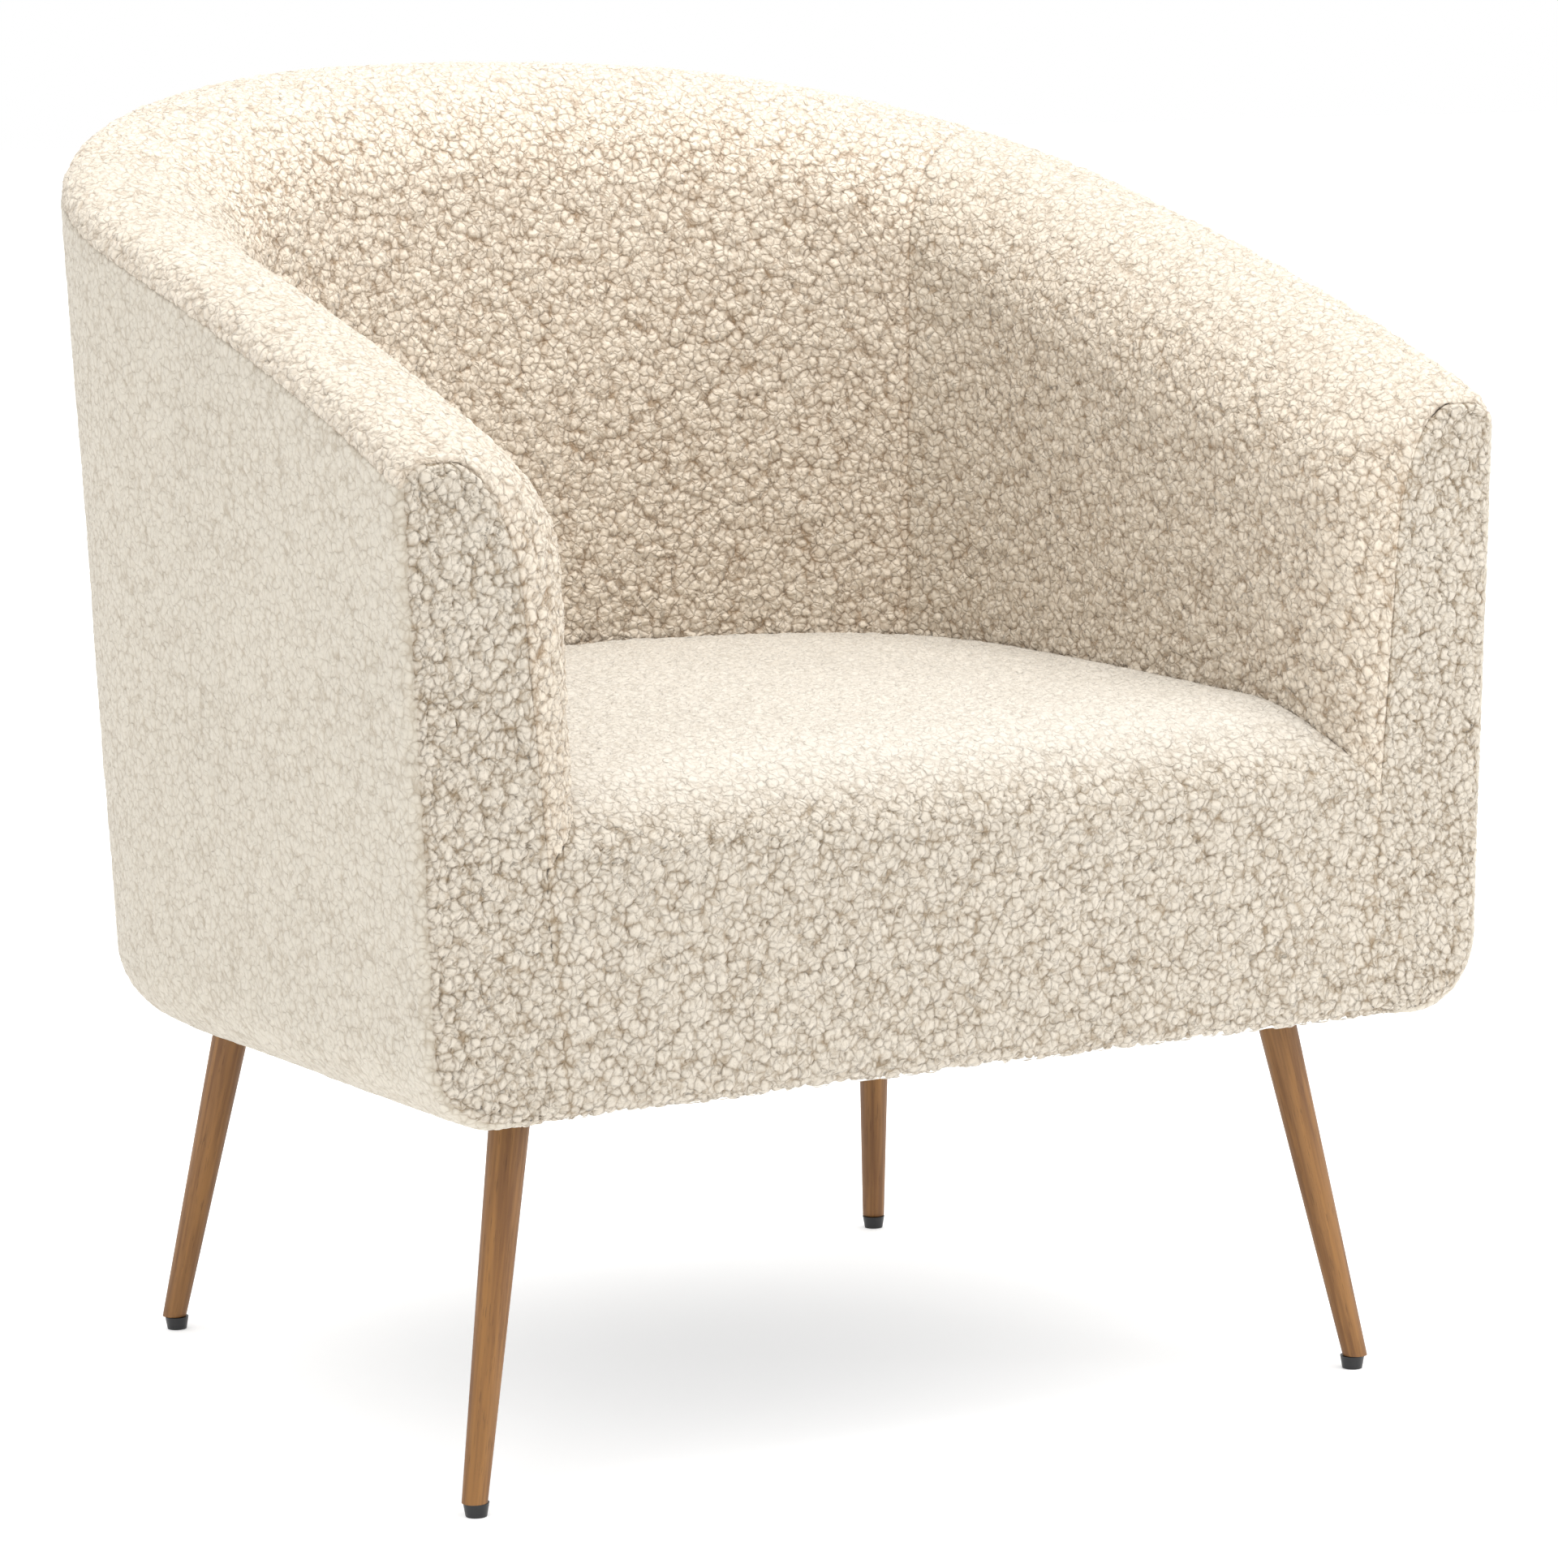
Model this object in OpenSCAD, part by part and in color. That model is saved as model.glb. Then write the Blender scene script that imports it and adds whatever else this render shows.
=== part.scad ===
// Barrel armchair with a tight seat, a shell that rises from the arms to the
// back in one sweep, and four splayed round legs. All sizes in millimetres.
// The chair faces -Y, +Z is up, and the origin is on the floor under its middle.

/* [Overall] */
// Height of the back at its middle
back_height = 770; // [720:5:930]
// Width of the shell at the level of the back's top
shell_width = 723; // [600:5:870]
// Depth of the shell from the front face to the back
shell_depth = 638; // [580:5:770]
// Height of the arms at the front
arm_height = 577; // [540:1:640]
// Height of the shell's underside above the floor
underside = 222; // [185:1:270]
// Height of the seat where it meets the inside back
seat_height = 409; // [380:1:430]

/* [Shell form] */
// Thickness of an arm from its outer to its inner face at the rim
wall = 115; // [100:1:138]
// Depth of the straight sides behind the front face
straight_side = 338; // [300:1:400]
// How square the curve of the back is, 2 is an ellipse
squareness = 2.33; // [2:0.01:2.8]
// How far the shell leans in at the sides from top to bottom
side_lean = 20; // [10:1:30]
// How far the shell leans in at the back from top to bottom
back_lean = 59; // [30:1:70]
// How much thicker the arms get down to the underside
arm_swell = 10; // [0:1:20]
// How much thicker the inside back gets down to the underside
back_swell = 20; // [0:1:30]
// How far the rim's sweep strays from a straight rise
rim_sweep = 110; // [0:1:140]
// Drop of the outer seam below the rim
seam_drop = 20; // [14:1:24]
// Radius of the roll from the rim down to the inner face
top_roll = 78; // [60:1:80]
// Radius of the lower edge under the sides and the back
lower_edge = 41; // [30:1:48]
// Depth of the roll where the inner face turns to the arm's front
front_roll = 40; // [30:1:50]
// Width of the arm's front panel at the underside, with the lean
face_foot = 103; // [100:1:106]
// Width of the arm's front panel at its top, with the lean
face_head = 78; // [72:1:86]
// Half the share of the shell that the inside back takes
back_seam = 0.43; // [0.36:0.01:0.5]

/* [Seat] */
// Depth of the roll at the seat's front edge
nose_depth = 100; // [70:1:120]
// Height of the roll at the seat's front edge
nose_drop = 48; // [40:1:56]
// Drop from the seat's middle to the top of its front roll
seat_dip = 5; // [0:1:10]
// Thickness of the wadding under the seat cover
wadding = 6; // [3:1:8]

/* [Cover] */
// Thickness of the pile fabric with its backing
pile = 8; // [5:0.5:9]
// Thickness of the black cloth under the shell
dust_cloth = 0.8; // [0.6:0.1:1.2]
// Clearance between neighbouring pieces
gap = 0.3; // [0.2:0.05:0.4]

/* [Frame] */
// Thickness of the upright boards and the rails
ply = 22; // [18:1:25]
// Thickness of the base ring
ring_ply = 18; // [15:1:20]
// Width of the base ring
ring_width = 95; // [80:1:105]
// Depth of the rail that follows the rim
rim_rail = 35; // [25:1:40]
// Thickness of the board between the frame and the outside cover
liner = 3; // [2:0.5:4]
// Thickness of the padding on the front faces
front_pad = 20; // [15:1:24]
// Thickness of the webbing behind the foam
webbing = 1.2; // [1:0.1:2]
// Height from the seat rails' top to the underside of the foam
deck_rise = 10; // [10:0.5:14]
// Height from the seat rails' top to the top of the seat
seat_build = 83; // [70:1:95]

/* [Springs] */
// Number of zigzag springs
spring_count = 5; // [3:1:5]
// Distance between springs
spring_pitch = 76; // [60:1:80]
// Thickness of the spring wire
spring_wire = 3.4; // [3:0.1:4]
// Radius of the springs' bends
bend_radius = 10; // [8:0.5:12]
// Length of the springs' straight bars
bar_length = 28; // [20:1:34]
// Distance between the two tie wires across the springs
tie_gap = 155; // [120:1:180]
// Thickness of the spring clips
clip_plate = 1; // [0.8:0.1:1.2]

/* [Legs] */
// Diameter of a leg where it meets the shell
leg_head = 23; // [20:0.5:28]
// Diameter of a leg at its foot
leg_tip = 13.8; // [12:0.1:18]
// Distance of a front leg's head from the side of the shell
front_leg_side = 110; // [105:1:125]
// Distance of a front leg's head from the front of the shell
front_leg_front = 84; // [70:1:110]
// How far a front leg spreads sideways to its foot
front_spread = 43; // [20:1:55]
// How far a front leg runs forward to its foot
front_reach = 28; // [10:1:40]
// Distance of a back leg's head inside the shell's lower outline
back_leg_in = 46; // [45:1:60]
// Place of a back leg as a share of the half shell
back_leg_share = 0.34; // [0.26:0.01:0.4]
// How far a back leg spreads sideways to its foot
back_spread = 29; // [10:1:45]
// How far a back leg runs backward to its foot
back_reach = 52; // [30:1:60]
// Height of a glide below the leg
glide_height = 7.6; // [6:0.1:10]
// Diameter of a glide where it meets the floor
glide_foot = 11.8; // [9:0.1:13]
// Diameter of a glide's stem
glide_stem = 5; // [4:0.1:6]
// Length of a glide's stem
stem_length = 14; // [10:1:18]
// Diameter of the bolt in the head of each leg
bolt = 6; // [5:0.5:6]
// Length of the bolt inside the leg
bolt_grip = 20; // [15:1:22]
// Diameter of the nuts' flanges
nut_flange = 18; // [16:1:20]

/* [Hidden] */
$fn = 48;

// The rim line, seen from above. A station runs from -1 at the left arm's
// front, over 0 at the middle of the back, to 1 at the right arm's front.
half_width = shell_width / 2;
y_front = -shell_depth / 2;
y_turn = y_front + straight_side;
turn_depth = shell_depth / 2 - y_turn;
turn_share = 0.62;

function side_of(s) = s < 0 ? -1 : 1;
function turn(s) = 90 * (1 - min(abs(s), turn_share) / turn_share);
function rim_x(s) = side_of(s) * half_width * pow(cos(turn(s)), 2 / squareness);
function rim_y(s) = abs(s) > turn_share
    ? y_turn - (abs(s) - turn_share) / (1 - turn_share) * straight_side
    : y_turn + turn_depth * pow(sin(turn(s)), 2 / squareness);
function station(y) = y <= y_turn
    ? turn_share + (y_turn - y) / straight_side * (1 - turn_share)
    : turn_share * (1 - asin(pow((y - y_turn) / turn_depth, squareness / 2)) / 90);
function slope_x(s) = pow(abs(rim_x(s)) / half_width, squareness - 1) / half_width;
function slope_y(s) = pow(max(rim_y(s) - y_turn, 0) / turn_depth, squareness - 1) / turn_depth;
function out_x(s) = side_of(s) * slope_x(s) / norm([slope_x(s), slope_y(s)]);
function out_y(s) = slope_y(s) / norm([slope_x(s), slope_y(s)]);

// A point that lies a distance inside the rim line, at a height.
function at(s, inset, z) = [rim_x(s) - out_x(s) * inset, rim_y(s) - out_y(s) * inset, z];
function flat_at(s, inset) = [for (i = [0:1]) at(s, inset, 0)[i]];

// How far back a station lies, and the height of the rim there.
function back_share(s) = (rim_y(s) - y_front) / shell_depth;
function rim(s) = let(u = back_share(s))
    arm_height + (back_height - arm_height) * u + rim_sweep * u * (1 - u) * (0.6 - u);

// Insets of the outer face, the inner face and the arm's front panel.
function fall(z) = (back_height - z) / (back_height - underside);
function lean(s) = side_lean + (back_lean - side_lean) * pow(out_y(s), 2);
function outer(s, z) = lean(s) * fall(z);
function inner(s, z) = wall
    + (arm_swell + (back_swell - arm_swell) * back_share(s)) * fall(z);
face_top = arm_height - 50;
function face(z) = face_foot
    - (face_foot - face_head) * min(1, (z - underside) / (face_top - underside));

// The inner face of a layer at some depth below the surface. Turned is 0 at
// the arm's front and 1 from the end of the front roll on.
function inside(s, z, depth, turned) = face(z) + (inner(s, z) - face(z) - depth) * turned;
function roll_y(angle, depth) = y_front + depth + (front_roll - depth) * (1 - sin(angle));

// Heights of the frame.
frame_foot = underside + pile + 3;
ring_top = frame_foot + ring_ply;
rail_top = seat_height - seat_build;
deck = rail_top + deck_rise;
tuck = deck + 1;
padding = pile + gap;
face_back = y_front + padding + front_pad;
board_front = face_back + gap;
board_back = board_front + ply;
behind_board = board_back + gap;
post_outer = padding + liner + gap;
post_inner = post_outer + ply;
function cover_inset(z) = lower_edge
    - sqrt(pow(lower_edge - pile, 2) - pow(max(0, underside + lower_edge - z), 2));
ring_inset = cover_inset(frame_foot) + 1.5;
rail_foot = ring_top + gap;
rail_outer = cover_inset(rail_foot) + 2;
rail_inner = rail_outer + ply;
foam_top_drop = seam_drop + 5;
rail_bottom_drop = foam_top_drop + rim_rail;
roll_end = asin(1 - (face_back - y_front - padding) / (front_roll - padding));
roll_angles = [roll_end, 35, 50, 70, 90];
function turned_at(y, depth) =
    cos(asin(max(0, min(1, 1 - (y - y_front - depth) / (front_roll - depth)))));

// The section of a layer from the outer seam over the rim and down the inner
// face to a foot height, as pairs of inset and height.
function over_rim(s, depth, foot, turned = 1) = let(
        top = rim(s),
        start = outer(s, top - seam_drop),
        ridge = inner(s, top) - top_roll,
        bend = seam_drop - depth)
    concat(
        [for (a = [0:30:90])
            [start + seam_drop - bend * cos(a), top - seam_drop + bend * sin(a)]],
        [for (a = [90:-15:0]) let(z = top - top_roll + (top_roll - depth) * sin(a))
            [ridge + (inside(s, z, depth, turned) - ridge) * cos(a), z]],
        [for (k = [0.5, 1]) let(z = top - top_roll + k * (foot - top + top_roll))
            [inside(s, z, depth, turned), z]]);

// The section of the outside cover from its foot edge up to the outer seam.
function outside_face(s, depth) = concat(
    [for (a = [90:-22.5:0]) let(r = lower_edge - depth, z = underside + lower_edge - r * sin(a))
        [outer(s, z) + lower_edge - r * cos(a), z]],
    [[outer(s, rim(s) - seam_drop - gap) + depth, rim(s) - seam_drop - gap]]);

function reversed(list) = [for (i = [len(list) - 1:-1:0]) list[i]];
function placed(s, section) = [for (p = section) at(s, p[0], p[1])];
function span(a, b, n) = [for (i = [0:n]) a + (b - a) * i / n];

// A solid through a row of closed sections. Each quad is cut from its low
// corner further back to its high corner further forward, so that the twisted
// faces of neighbouring layers match. The ends are flat, or strips between
// the two halves of a section where those ends are mitred.
module loft(sections, mitred = false) {
    n = len(sections[0]);
    last = len(sections) - 1;
    sides = [for (i = [0:last - 1], j = [0:n - 1]) let(
            a = i * n, b = a + n, k = (j + 1) % n,
            p = sections[i], q = sections[i + 1],
            behind = p[j][1] + p[k][1] >= q[j][1] + q[k][1],
            below = p[j][2] + q[j][2] <= p[k][2] + q[k][2])
        each behind == below ? [[a + j, b + j, b + k], [a + j, b + k, a + k]]
            : [[a + j, b + j, a + k], [b + j, b + k, a + k]]];
    half = n / 2;
    strips = [for (j = [0:half - 2]) let(p = j, q = j + 1, r = n - 2 - j, t = n - 1 - j)
        each [[p, q, r], [p, r, t]]];
    first_end = mitred ? strips : [[for (j = [0:n - 1]) j]];
    last_end = mitred ? [for (f = strips) [for (v = reversed(f)) v + last * n]]
        : [[for (j = [n - 1:-1:0]) j + last * n]];
    polyhedron([for (s = sections) each s], concat(sides, first_end, last_end));
}

module mirrored(left) {
    if (left) mirror([1, 0, 0]) children(); else children();
}

// Stations that all layers share, from the middle of the back to the boards
// behind the arms' fronts, so that their flats lie side by side.
function tail(list) = [for (i = [1:len(list) - 1]) list[i]];
function both(list) = concat([for (s = reversed(list)) -s], tail(list));
s_behind_board = station(behind_board);
back_marks = span(0, back_seam, 12);
curve_marks = span(back_seam, turn_share, 6);
side_marks = span(turn_share, s_behind_board, 7);
half_frame = concat(back_marks, tail(curve_marks), tail(side_marks));
frame_shell = both(half_frame);
whole_shell = both(concat(half_frame, [1]));
seam_slit = 0.001;
back_span = both([for (s = back_marks) min(s, back_seam - seam_slit)]);
arm_span = concat([back_seam + seam_slit], tail(curve_marks), tail(side_marks));

// ---- covers ----
module outside_cover() {
    color("ivory")
    loft([for (s = whole_shell)
        placed(s, concat(outside_face(s, pile), reversed(outside_face(s, 0))))], mitred = true);
}

module inside_back_cover() {
    color("antiquewhite")
    loft([for (s = back_span)
        placed(s, concat(over_rim(s, 0, tuck), reversed(over_rim(s, pile, tuck))))],
        mitred = true);
}

// A section of the arm's cover inside its front roll, each layer on its own line.
function rolled(angle, near, far, foot) = let(
        s = station(roll_y(angle, near)), t = station(roll_y(angle, far)))
    concat(placed(s, over_rim(s, near, foot, cos(angle))),
        reversed(placed(t, over_rim(t, far, foot, cos(angle)))));

module inside_arm_cover(left) {
    color("antiquewhite") mirrored(left)
    loft(concat(
        [for (s = concat(arm_span, [station(y_front + front_roll)]))
            placed(s, concat(over_rim(s, 0, tuck), reversed(over_rim(s, pile, tuck))))],
        [for (a = roll_angles) rolled(a, 0, pile, tuck)]), mitred = true);
}
module inside_arm_cover_left() { inside_arm_cover(true); }
module inside_arm_cover_right() { inside_arm_cover(false); }

// Outline of the arm's front panel in x and z, inside the wrapped covers.
function panel_outline(ease, foot) = let(s = 1, arc_r = lower_edge - pile - ease,
        flat = outer(s, underside) + lower_edge + ease,
        rim_part = over_rim(s, pile + ease, underside, 0),
        last = len(rim_part) - 3)
    concat(
        [[half_width - face(foot) + ease, foot], [half_width - flat, foot]],
        [for (a = [90:-22.5:0]) let(z = underside + lower_edge - arc_r * sin(a)) if (z > foot)
            [half_width - outer(s, z) - lower_edge + arc_r * cos(a), z]],
        [for (i = [0:last]) [half_width - rim_part[i][0] + (i == last ? ease : 0), rim_part[i][1]]]);

module panel(left, ease, foot, y, thickness) {
    mirrored(left) translate([0, y + thickness, 0]) rotate([90, 0, 0])
    linear_extrude(thickness) polygon(panel_outline(ease, foot));
}

module arm_front_cover_left() { color("ivory") panel(true, gap, underside, y_front, pile); }
module arm_front_cover_right() { color("ivory") panel(false, gap, underside, y_front, pile); }

// The line where the seat meets the arms and the inside back: y, half width.
seat_ease = 1;
function arm_side(y, z) = y < y_front + front_roll
    ? inside(1, z, 0, turned_at(y, 0)) : inner(station(y), z);
seat_line = concat(
    [for (y = concat([for (d = [0, 2, 5, 10, 18, 28]) y_front + d], [y_front + front_roll]))
        [y, half_width - arm_side(y, deck) - seat_ease]],
    [for (s = concat(reversed(concat(tail(back_marks), tail(curve_marks), tail(side_marks))), [0.006]))
        let(p = at(s, inner(s, deck) + seat_ease, 0)) [p[1], p[0]]]);
seat_back = seat_line[len(seat_line) - 1][0];
function seat_half(y, z) = y <= y_front + front_roll
    ? half_width - arm_side(y, max(z, deck)) - seat_ease : lookup(y, seat_line);

// The seat's surface from its lower front edge over the roll to the back, as
// rows of y, z and half width, at some depth below the pile.
nose_top = seat_height - seat_dip;
nose_foot = nose_top - nose_drop;
function front_half(y, z) = z < tuck ? half_width - face(z) - gap : seat_half(y, z);
function seat_path(depth) = concat(
    [for (z = [underside, (underside + tuck) / 2, tuck - gap, tuck, nose_foot])
        [y_front + depth, z, front_half(y_front + depth, z)]],
    [for (a = [5, 10, 15, 22, 30, 38, 45, 52, 64, 77, 90]) let(
            y = y_front + nose_depth - (nose_depth - depth) * cos(a),
            z = nose_foot + (nose_drop - depth) * sin(a))
        [y, z, seat_half(y, z)]],
    [for (p = seat_line) if (p[0] > y_front + nose_depth)
        let(t = (p[0] - y_front - nose_depth) / (seat_back - y_front - nose_depth))
        [p[0], nose_top + seat_dip * sin(90 * min(1, t * 1.6)) - depth, p[1]]]);

// A layer of the seat between two depths. Its sides follow the arms' rounded
// fronts in a few steps.
module seat_layer(near, far) {
    paths = [for (k = [0, 0.1, 0.35, 1]) seat_path(near + k * (far - near))];
    loft([for (i = [0:len(paths[0]) - 1]) concat(
        [for (p = reversed(paths)) [-p[i][2], p[i][0], p[i][1]]],
        [for (p = paths) [p[i][2], p[i][0], p[i][1]]])], mitred = true);
}
module seat_cover() { color("antiquewhite") seat_layer(0, pile); }
module seat_wadding() { color("white") seat_layer(padding, padding + wadding); }

// ---- padding ----
// Plan of the seat inside the arms and the back, from a front line on.
function seat_plan(front, ease) = let(
        side = concat([[front, seat_half(front, deck)]],
            [for (p = seat_line) if (p[0] > front) p]))
    concat([for (p = side) [p[1] - ease, p[0] - (p[0] > y_turn ? ease : 0)]],
        [for (p = reversed(side)) [-p[1] + ease, p[0] - (p[0] > y_turn ? ease : 0)]]);

foam_depth = padding + wadding + gap;
foam_front = y_front + foam_depth;
module seat_foam() {
    top = [for (p = seat_path(foam_depth)) if (p[1] > nose_foot && p[0] > foam_front) [p[0], p[1]]];
    color("khaki") intersection() {
        translate([0, 0, deck]) linear_extrude(seat_height) polygon(seat_plan(foam_front, gap));
        rotate([90, 0, 90]) translate([0, 0, -half_width]) linear_extrude(shell_width)
        polygon(concat([[foam_front, deck], [seat_back, deck]], reversed(top),
            [[foam_front, nose_foot]]));
    }
}

module seat_front_pad() {
    reach = half_width - face_foot - 1;
    color("khaki") translate([-reach, foam_front, frame_foot])
    cube([2 * reach, face_back - foam_front, deck - gap - frame_foot]);
}

// The line of the uprights' inner faces, from the seat rails to the rim rail.
function back_of_foam(s, z) = let(
        low = lean(s) + rail_inner,
        head = rim(s) - rail_bottom_drop,
        high = outer(s, head) + post_inner)
    low + (high - low) * (z - rail_top) / (head - rail_top);

function foam_section(s) = let(
        depth = padding, head = rim(s) - rail_bottom_drop,
        brow = rim(s) - foam_top_drop + gap, ease = webbing + 2 * gap)
    concat(
        [[outer(s, brow) + depth + gap, brow]],
        [for (p = over_rim(s, depth, tuck)) if (p[1] > brow || p[0] > wall / 2) p],
        [[back_of_foam(s, tuck) + ease, tuck], [back_of_foam(s, head) + ease, head],
            [outer(s, brow) + post_inner + ease, brow]]);

module foam(stations) {
    color("khaki") loft([for (s = stations) placed(s, foam_section(s))]);
}
module back_foam() { foam(back_span); }
module arm_foam(left) { mirrored(left) foam(arm_span); }
module arm_foam_left() { arm_foam(true); }
module arm_foam_right() { arm_foam(false); }

// Padding of the arm's front, which fills the front roll as far as its board.
module arm_front_pad(left) {
    low = underside + lower_edge;
    ease = 2 * gap;
    color("khaki") mirrored(left) loft([for (a = roll_angles) let(s = station(roll_y(a, padding)))
        placed(s, concat(over_rim(s, padding, tuck, cos(a)),
            [[face(tuck) - ease, tuck - gap], [face(rail_foot) - ease, rail_foot],
                [lean(s) + rail_outer, rail_foot], [outer(s, low) + padding, low]]))]);
}
module arm_front_pad_left() { arm_front_pad(true); }
module arm_front_pad_right() { arm_front_pad(false); }

module webbing_panel(stations) {
    color("tan") loft([for (s = stations) let(a = tuck + 2, b = rim(s) - rail_bottom_drop - 2)
        placed(s, [
            [back_of_foam(s, a) + gap, a], [back_of_foam(s, b) + gap, b],
            [back_of_foam(s, b) + gap + webbing, b], [back_of_foam(s, a) + gap + webbing, a]])]);
}
module back_webbing() { webbing_panel(back_span); }
module arm_webbing(left) { mirrored(left) webbing_panel(arm_span); }
module arm_webbing_left() { arm_webbing(true); }
module arm_webbing_right() { arm_webbing(false); }

module outer_liner() {
    color("tan") loft([for (s = frame_shell) let(
            a = underside + lower_edge, b = rim(s) - foam_top_drop)
        placed(s, [
            [outer(s, a) + padding, a], [outer(s, b) + padding, b],
            [outer(s, b) + padding + liner, b], [outer(s, a) + padding + liner, a]])]);
}

module seat_insulator() {
    color("gray") translate([0, 0, deck - gap - 2])
    linear_extrude(2) polygon(seat_plan(board_front + 2, 1));
}

// ---- springs ----
wire_low = rail_top + gap + clip_plate + gap;
wire_top = wire_low + spring_wire;
clip_depth = 12;
spring_front = (board_front + board_back) / 2;
back_line = [for (s = reversed(span(0, turn_share, 24))) let(
        p = at(s, lean(s) + (rail_outer + rail_inner) / 2, 0)) [p[0], p[1]]];
back_line_by_x = reversed(back_line);
function spring_back(x) = lookup(abs(x), back_line_by_x);
function spring_x(i) = (i - (spring_count + 1) / 2) * spring_pitch;

// One side of the wire's outline. Turns is the number of half loops.
function wire_side(turns, shift) = concat(
    [[-bar_length / 2, -shift]],
    [for (i = [0:turns - 1]) let(right = i % 2 == 0, r = bend_radius + (right ? shift : -shift))
        each [for (a = [-90:45:90])
            [(right ? 1 : -1) * (bar_length / 2 + r * cos(a)), (2 * i + 1) * bend_radius + r * sin(a)]]],
    [[(turns % 2 == 0 ? 1 : -1) * bar_length / 2, 2 * turns * bend_radius + (turns % 2 == 0 ? -1 : 1) * shift]]);

module seat_spring(i) {
    run = spring_back(spring_x(i)) - spring_front;
    turns = round(run / (2 * bend_radius));
    stretch = run / (2 * bend_radius * turns);
    side = spring_x(i) < 0 ? -1 : 1;
    outline = concat(wire_side(turns, spring_wire / 2), reversed(wire_side(turns, -spring_wire / 2)));
    color("silver") if (i <= spring_count)
    translate([spring_x(i), spring_front, wire_low]) linear_extrude(spring_wire)
    polygon([for (p = outline) [side * p[0], stretch * p[1]]]);
}
module seat_spring_1() { seat_spring(1); }
module seat_spring_2() { seat_spring(2); }
module seat_spring_3() { seat_spring(3); }
module seat_spring_4() { seat_spring(4); }
module seat_spring_5() { seat_spring(5); }

// A clip holds a spring's end bar from below, behind and above.
module clip() {
    inside_height = spring_wire + 2 * gap;
    translate([-8, -clip_depth / 2, 0]) {
        cube([16, clip_depth, clip_plate]);
        translate([0, clip_depth - clip_plate - 2, 0]) cube([16, clip_plate, inside_height + 2 * clip_plate]);
        translate([0, 2, clip_plate + inside_height]) cube([16, clip_depth - 4, clip_plate]);
    }
}
module spring_clips() {
    color("dimgray") for (i = [1:spring_count]) {
        translate([spring_x(i), spring_front, rail_top + gap]) rotate(180) clip();
        translate([spring_x(i), spring_back(spring_x(i)), rail_top + gap]) clip();
    }
}
module spring_tie_wires() {
    reach = half_width - lean(1) - rail_inner + 8;
    r = 0.8;
    color("silver") for (y = [y_turn - tie_gap, y_turn])
    translate([-reach, y, wire_top + gap / 2 + r])
    rotate([0, 90, 0]) cylinder(h = 2 * reach, r = r, $fn = 24);
}

// ---- frame ----
ring_stations = both(concat(back_marks, tail(curve_marks), [station(board_front)]));
function ring_plan(inset) = [for (s = ring_stations) flat_at(s, lean(s) + inset)];

module base_ring() {
    color("burlywood") difference() {
        translate([0, 0, frame_foot]) linear_extrude(ring_ply) polygon(ring_plan(ring_inset));
        translate([0, 0, frame_foot - 1]) linear_extrude(ring_ply + 2) intersection() {
            polygon(ring_plan(ring_inset + ring_width));
            translate([-half_width, board_front + ring_width]) square([shell_width, shell_depth]);
        }
        for (i = [0:3]) translate([leg_head_at(i)[0], leg_head_at(i)[1], frame_foot - 1])
            cylinder(h = ring_ply + 2, r = nut_barrel + gap);
    }
}

board_inset = padding + 2 * gap;
board_reach = wall - 6;
module front_rail() {
    reach = half_width - board_reach - gap - arm_swell;
    color("burlywood") translate([-reach, board_front, rail_foot])
    cube([2 * reach, ply, rail_top - rail_foot]);
}

module base_rail(stations) {
    color("burlywood") loft([for (s = stations) placed(s, [
        [lean(s) + rail_outer, rail_foot], [lean(s) + rail_outer, rail_top],
        [lean(s) + rail_inner, rail_top], [lean(s) + rail_inner, rail_foot]])]);
}
side_rail_marks = concat([turn_share + seam_slit], tail(side_marks));
module side_rail_left() { base_rail([for (s = reversed(side_rail_marks)) -s]); }
module side_rail_right() { base_rail(side_rail_marks); }
module back_rail() {
    base_rail(both([for (s = concat(back_marks, tail(curve_marks))) min(s, turn_share - seam_slit)]));
}

module rim_rail_board() {
    color("burlywood") loft([for (s = frame_shell) let(
            a = rim(s) - rail_bottom_drop, b = rim(s) - foam_top_drop)
        placed(s, [
            [outer(s, a) + post_outer, a], [outer(s, b) + post_outer, b],
            [outer(s, b) + post_inner, b], [outer(s, a) + post_inner, a]])]);
}

// The board that carries the arm's front, in x and z.
function board_outline() = let(s = station(board_front), depth = board_inset,
        turned = turned_at(board_front, depth),
        rim_part = over_rim(s, depth, tuck, turned),
        low_z = underside + lower_edge)
    concat(
        [[half_width - board_reach - arm_swell, rail_foot],
            [half_width - outer(s, rail_foot) - depth - gap
                - lower_edge + sqrt(pow(lower_edge, 2) - pow(low_z - rail_foot, 2)), rail_foot],
            [half_width - outer(s, low_z) - depth, low_z]],
        [for (p = rim_part) [half_width - p[0], p[1]]],
        [[half_width - board_reach - arm_swell, tuck - gap]]);
module arm_front_board(left) {
    color("burlywood") mirrored(left) translate([0, board_back, 0]) rotate([90, 0, 0])
    linear_extrude(ply) polygon(board_outline());
}
module arm_front_board_left() { arm_front_board(true); }
module arm_front_board_right() { arm_front_board(false); }

module post(stations) {
    color("burlywood") loft([for (s = stations) let(
            a = rail_top + gap, b = rim(s) - rail_bottom_drop - gap)
        placed(s, [
            [lean(s) + rail_outer, a], [outer(s, b) + post_outer, b],
            [outer(s, b) + post_inner, b], [lean(s) + rail_inner, a]])]);
}
function negative(list) = [for (s = reversed(list)) -s];
arm_post_marks = [side_marks[2], side_marks[3]];
back_post_marks = [back_marks[11], back_seam, curve_marks[1]];
stile_marks = [back_marks[3], back_marks[4]];
module arm_post_left() { post(negative(arm_post_marks)); }
module arm_post_right() { post(arm_post_marks); }
module back_post_left() { post(negative(back_post_marks)); }
module back_post_right() { post(back_post_marks); }
module back_stile_left() { post(negative(stile_marks)); }
module back_stile_right() { post(stile_marks); }

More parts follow.
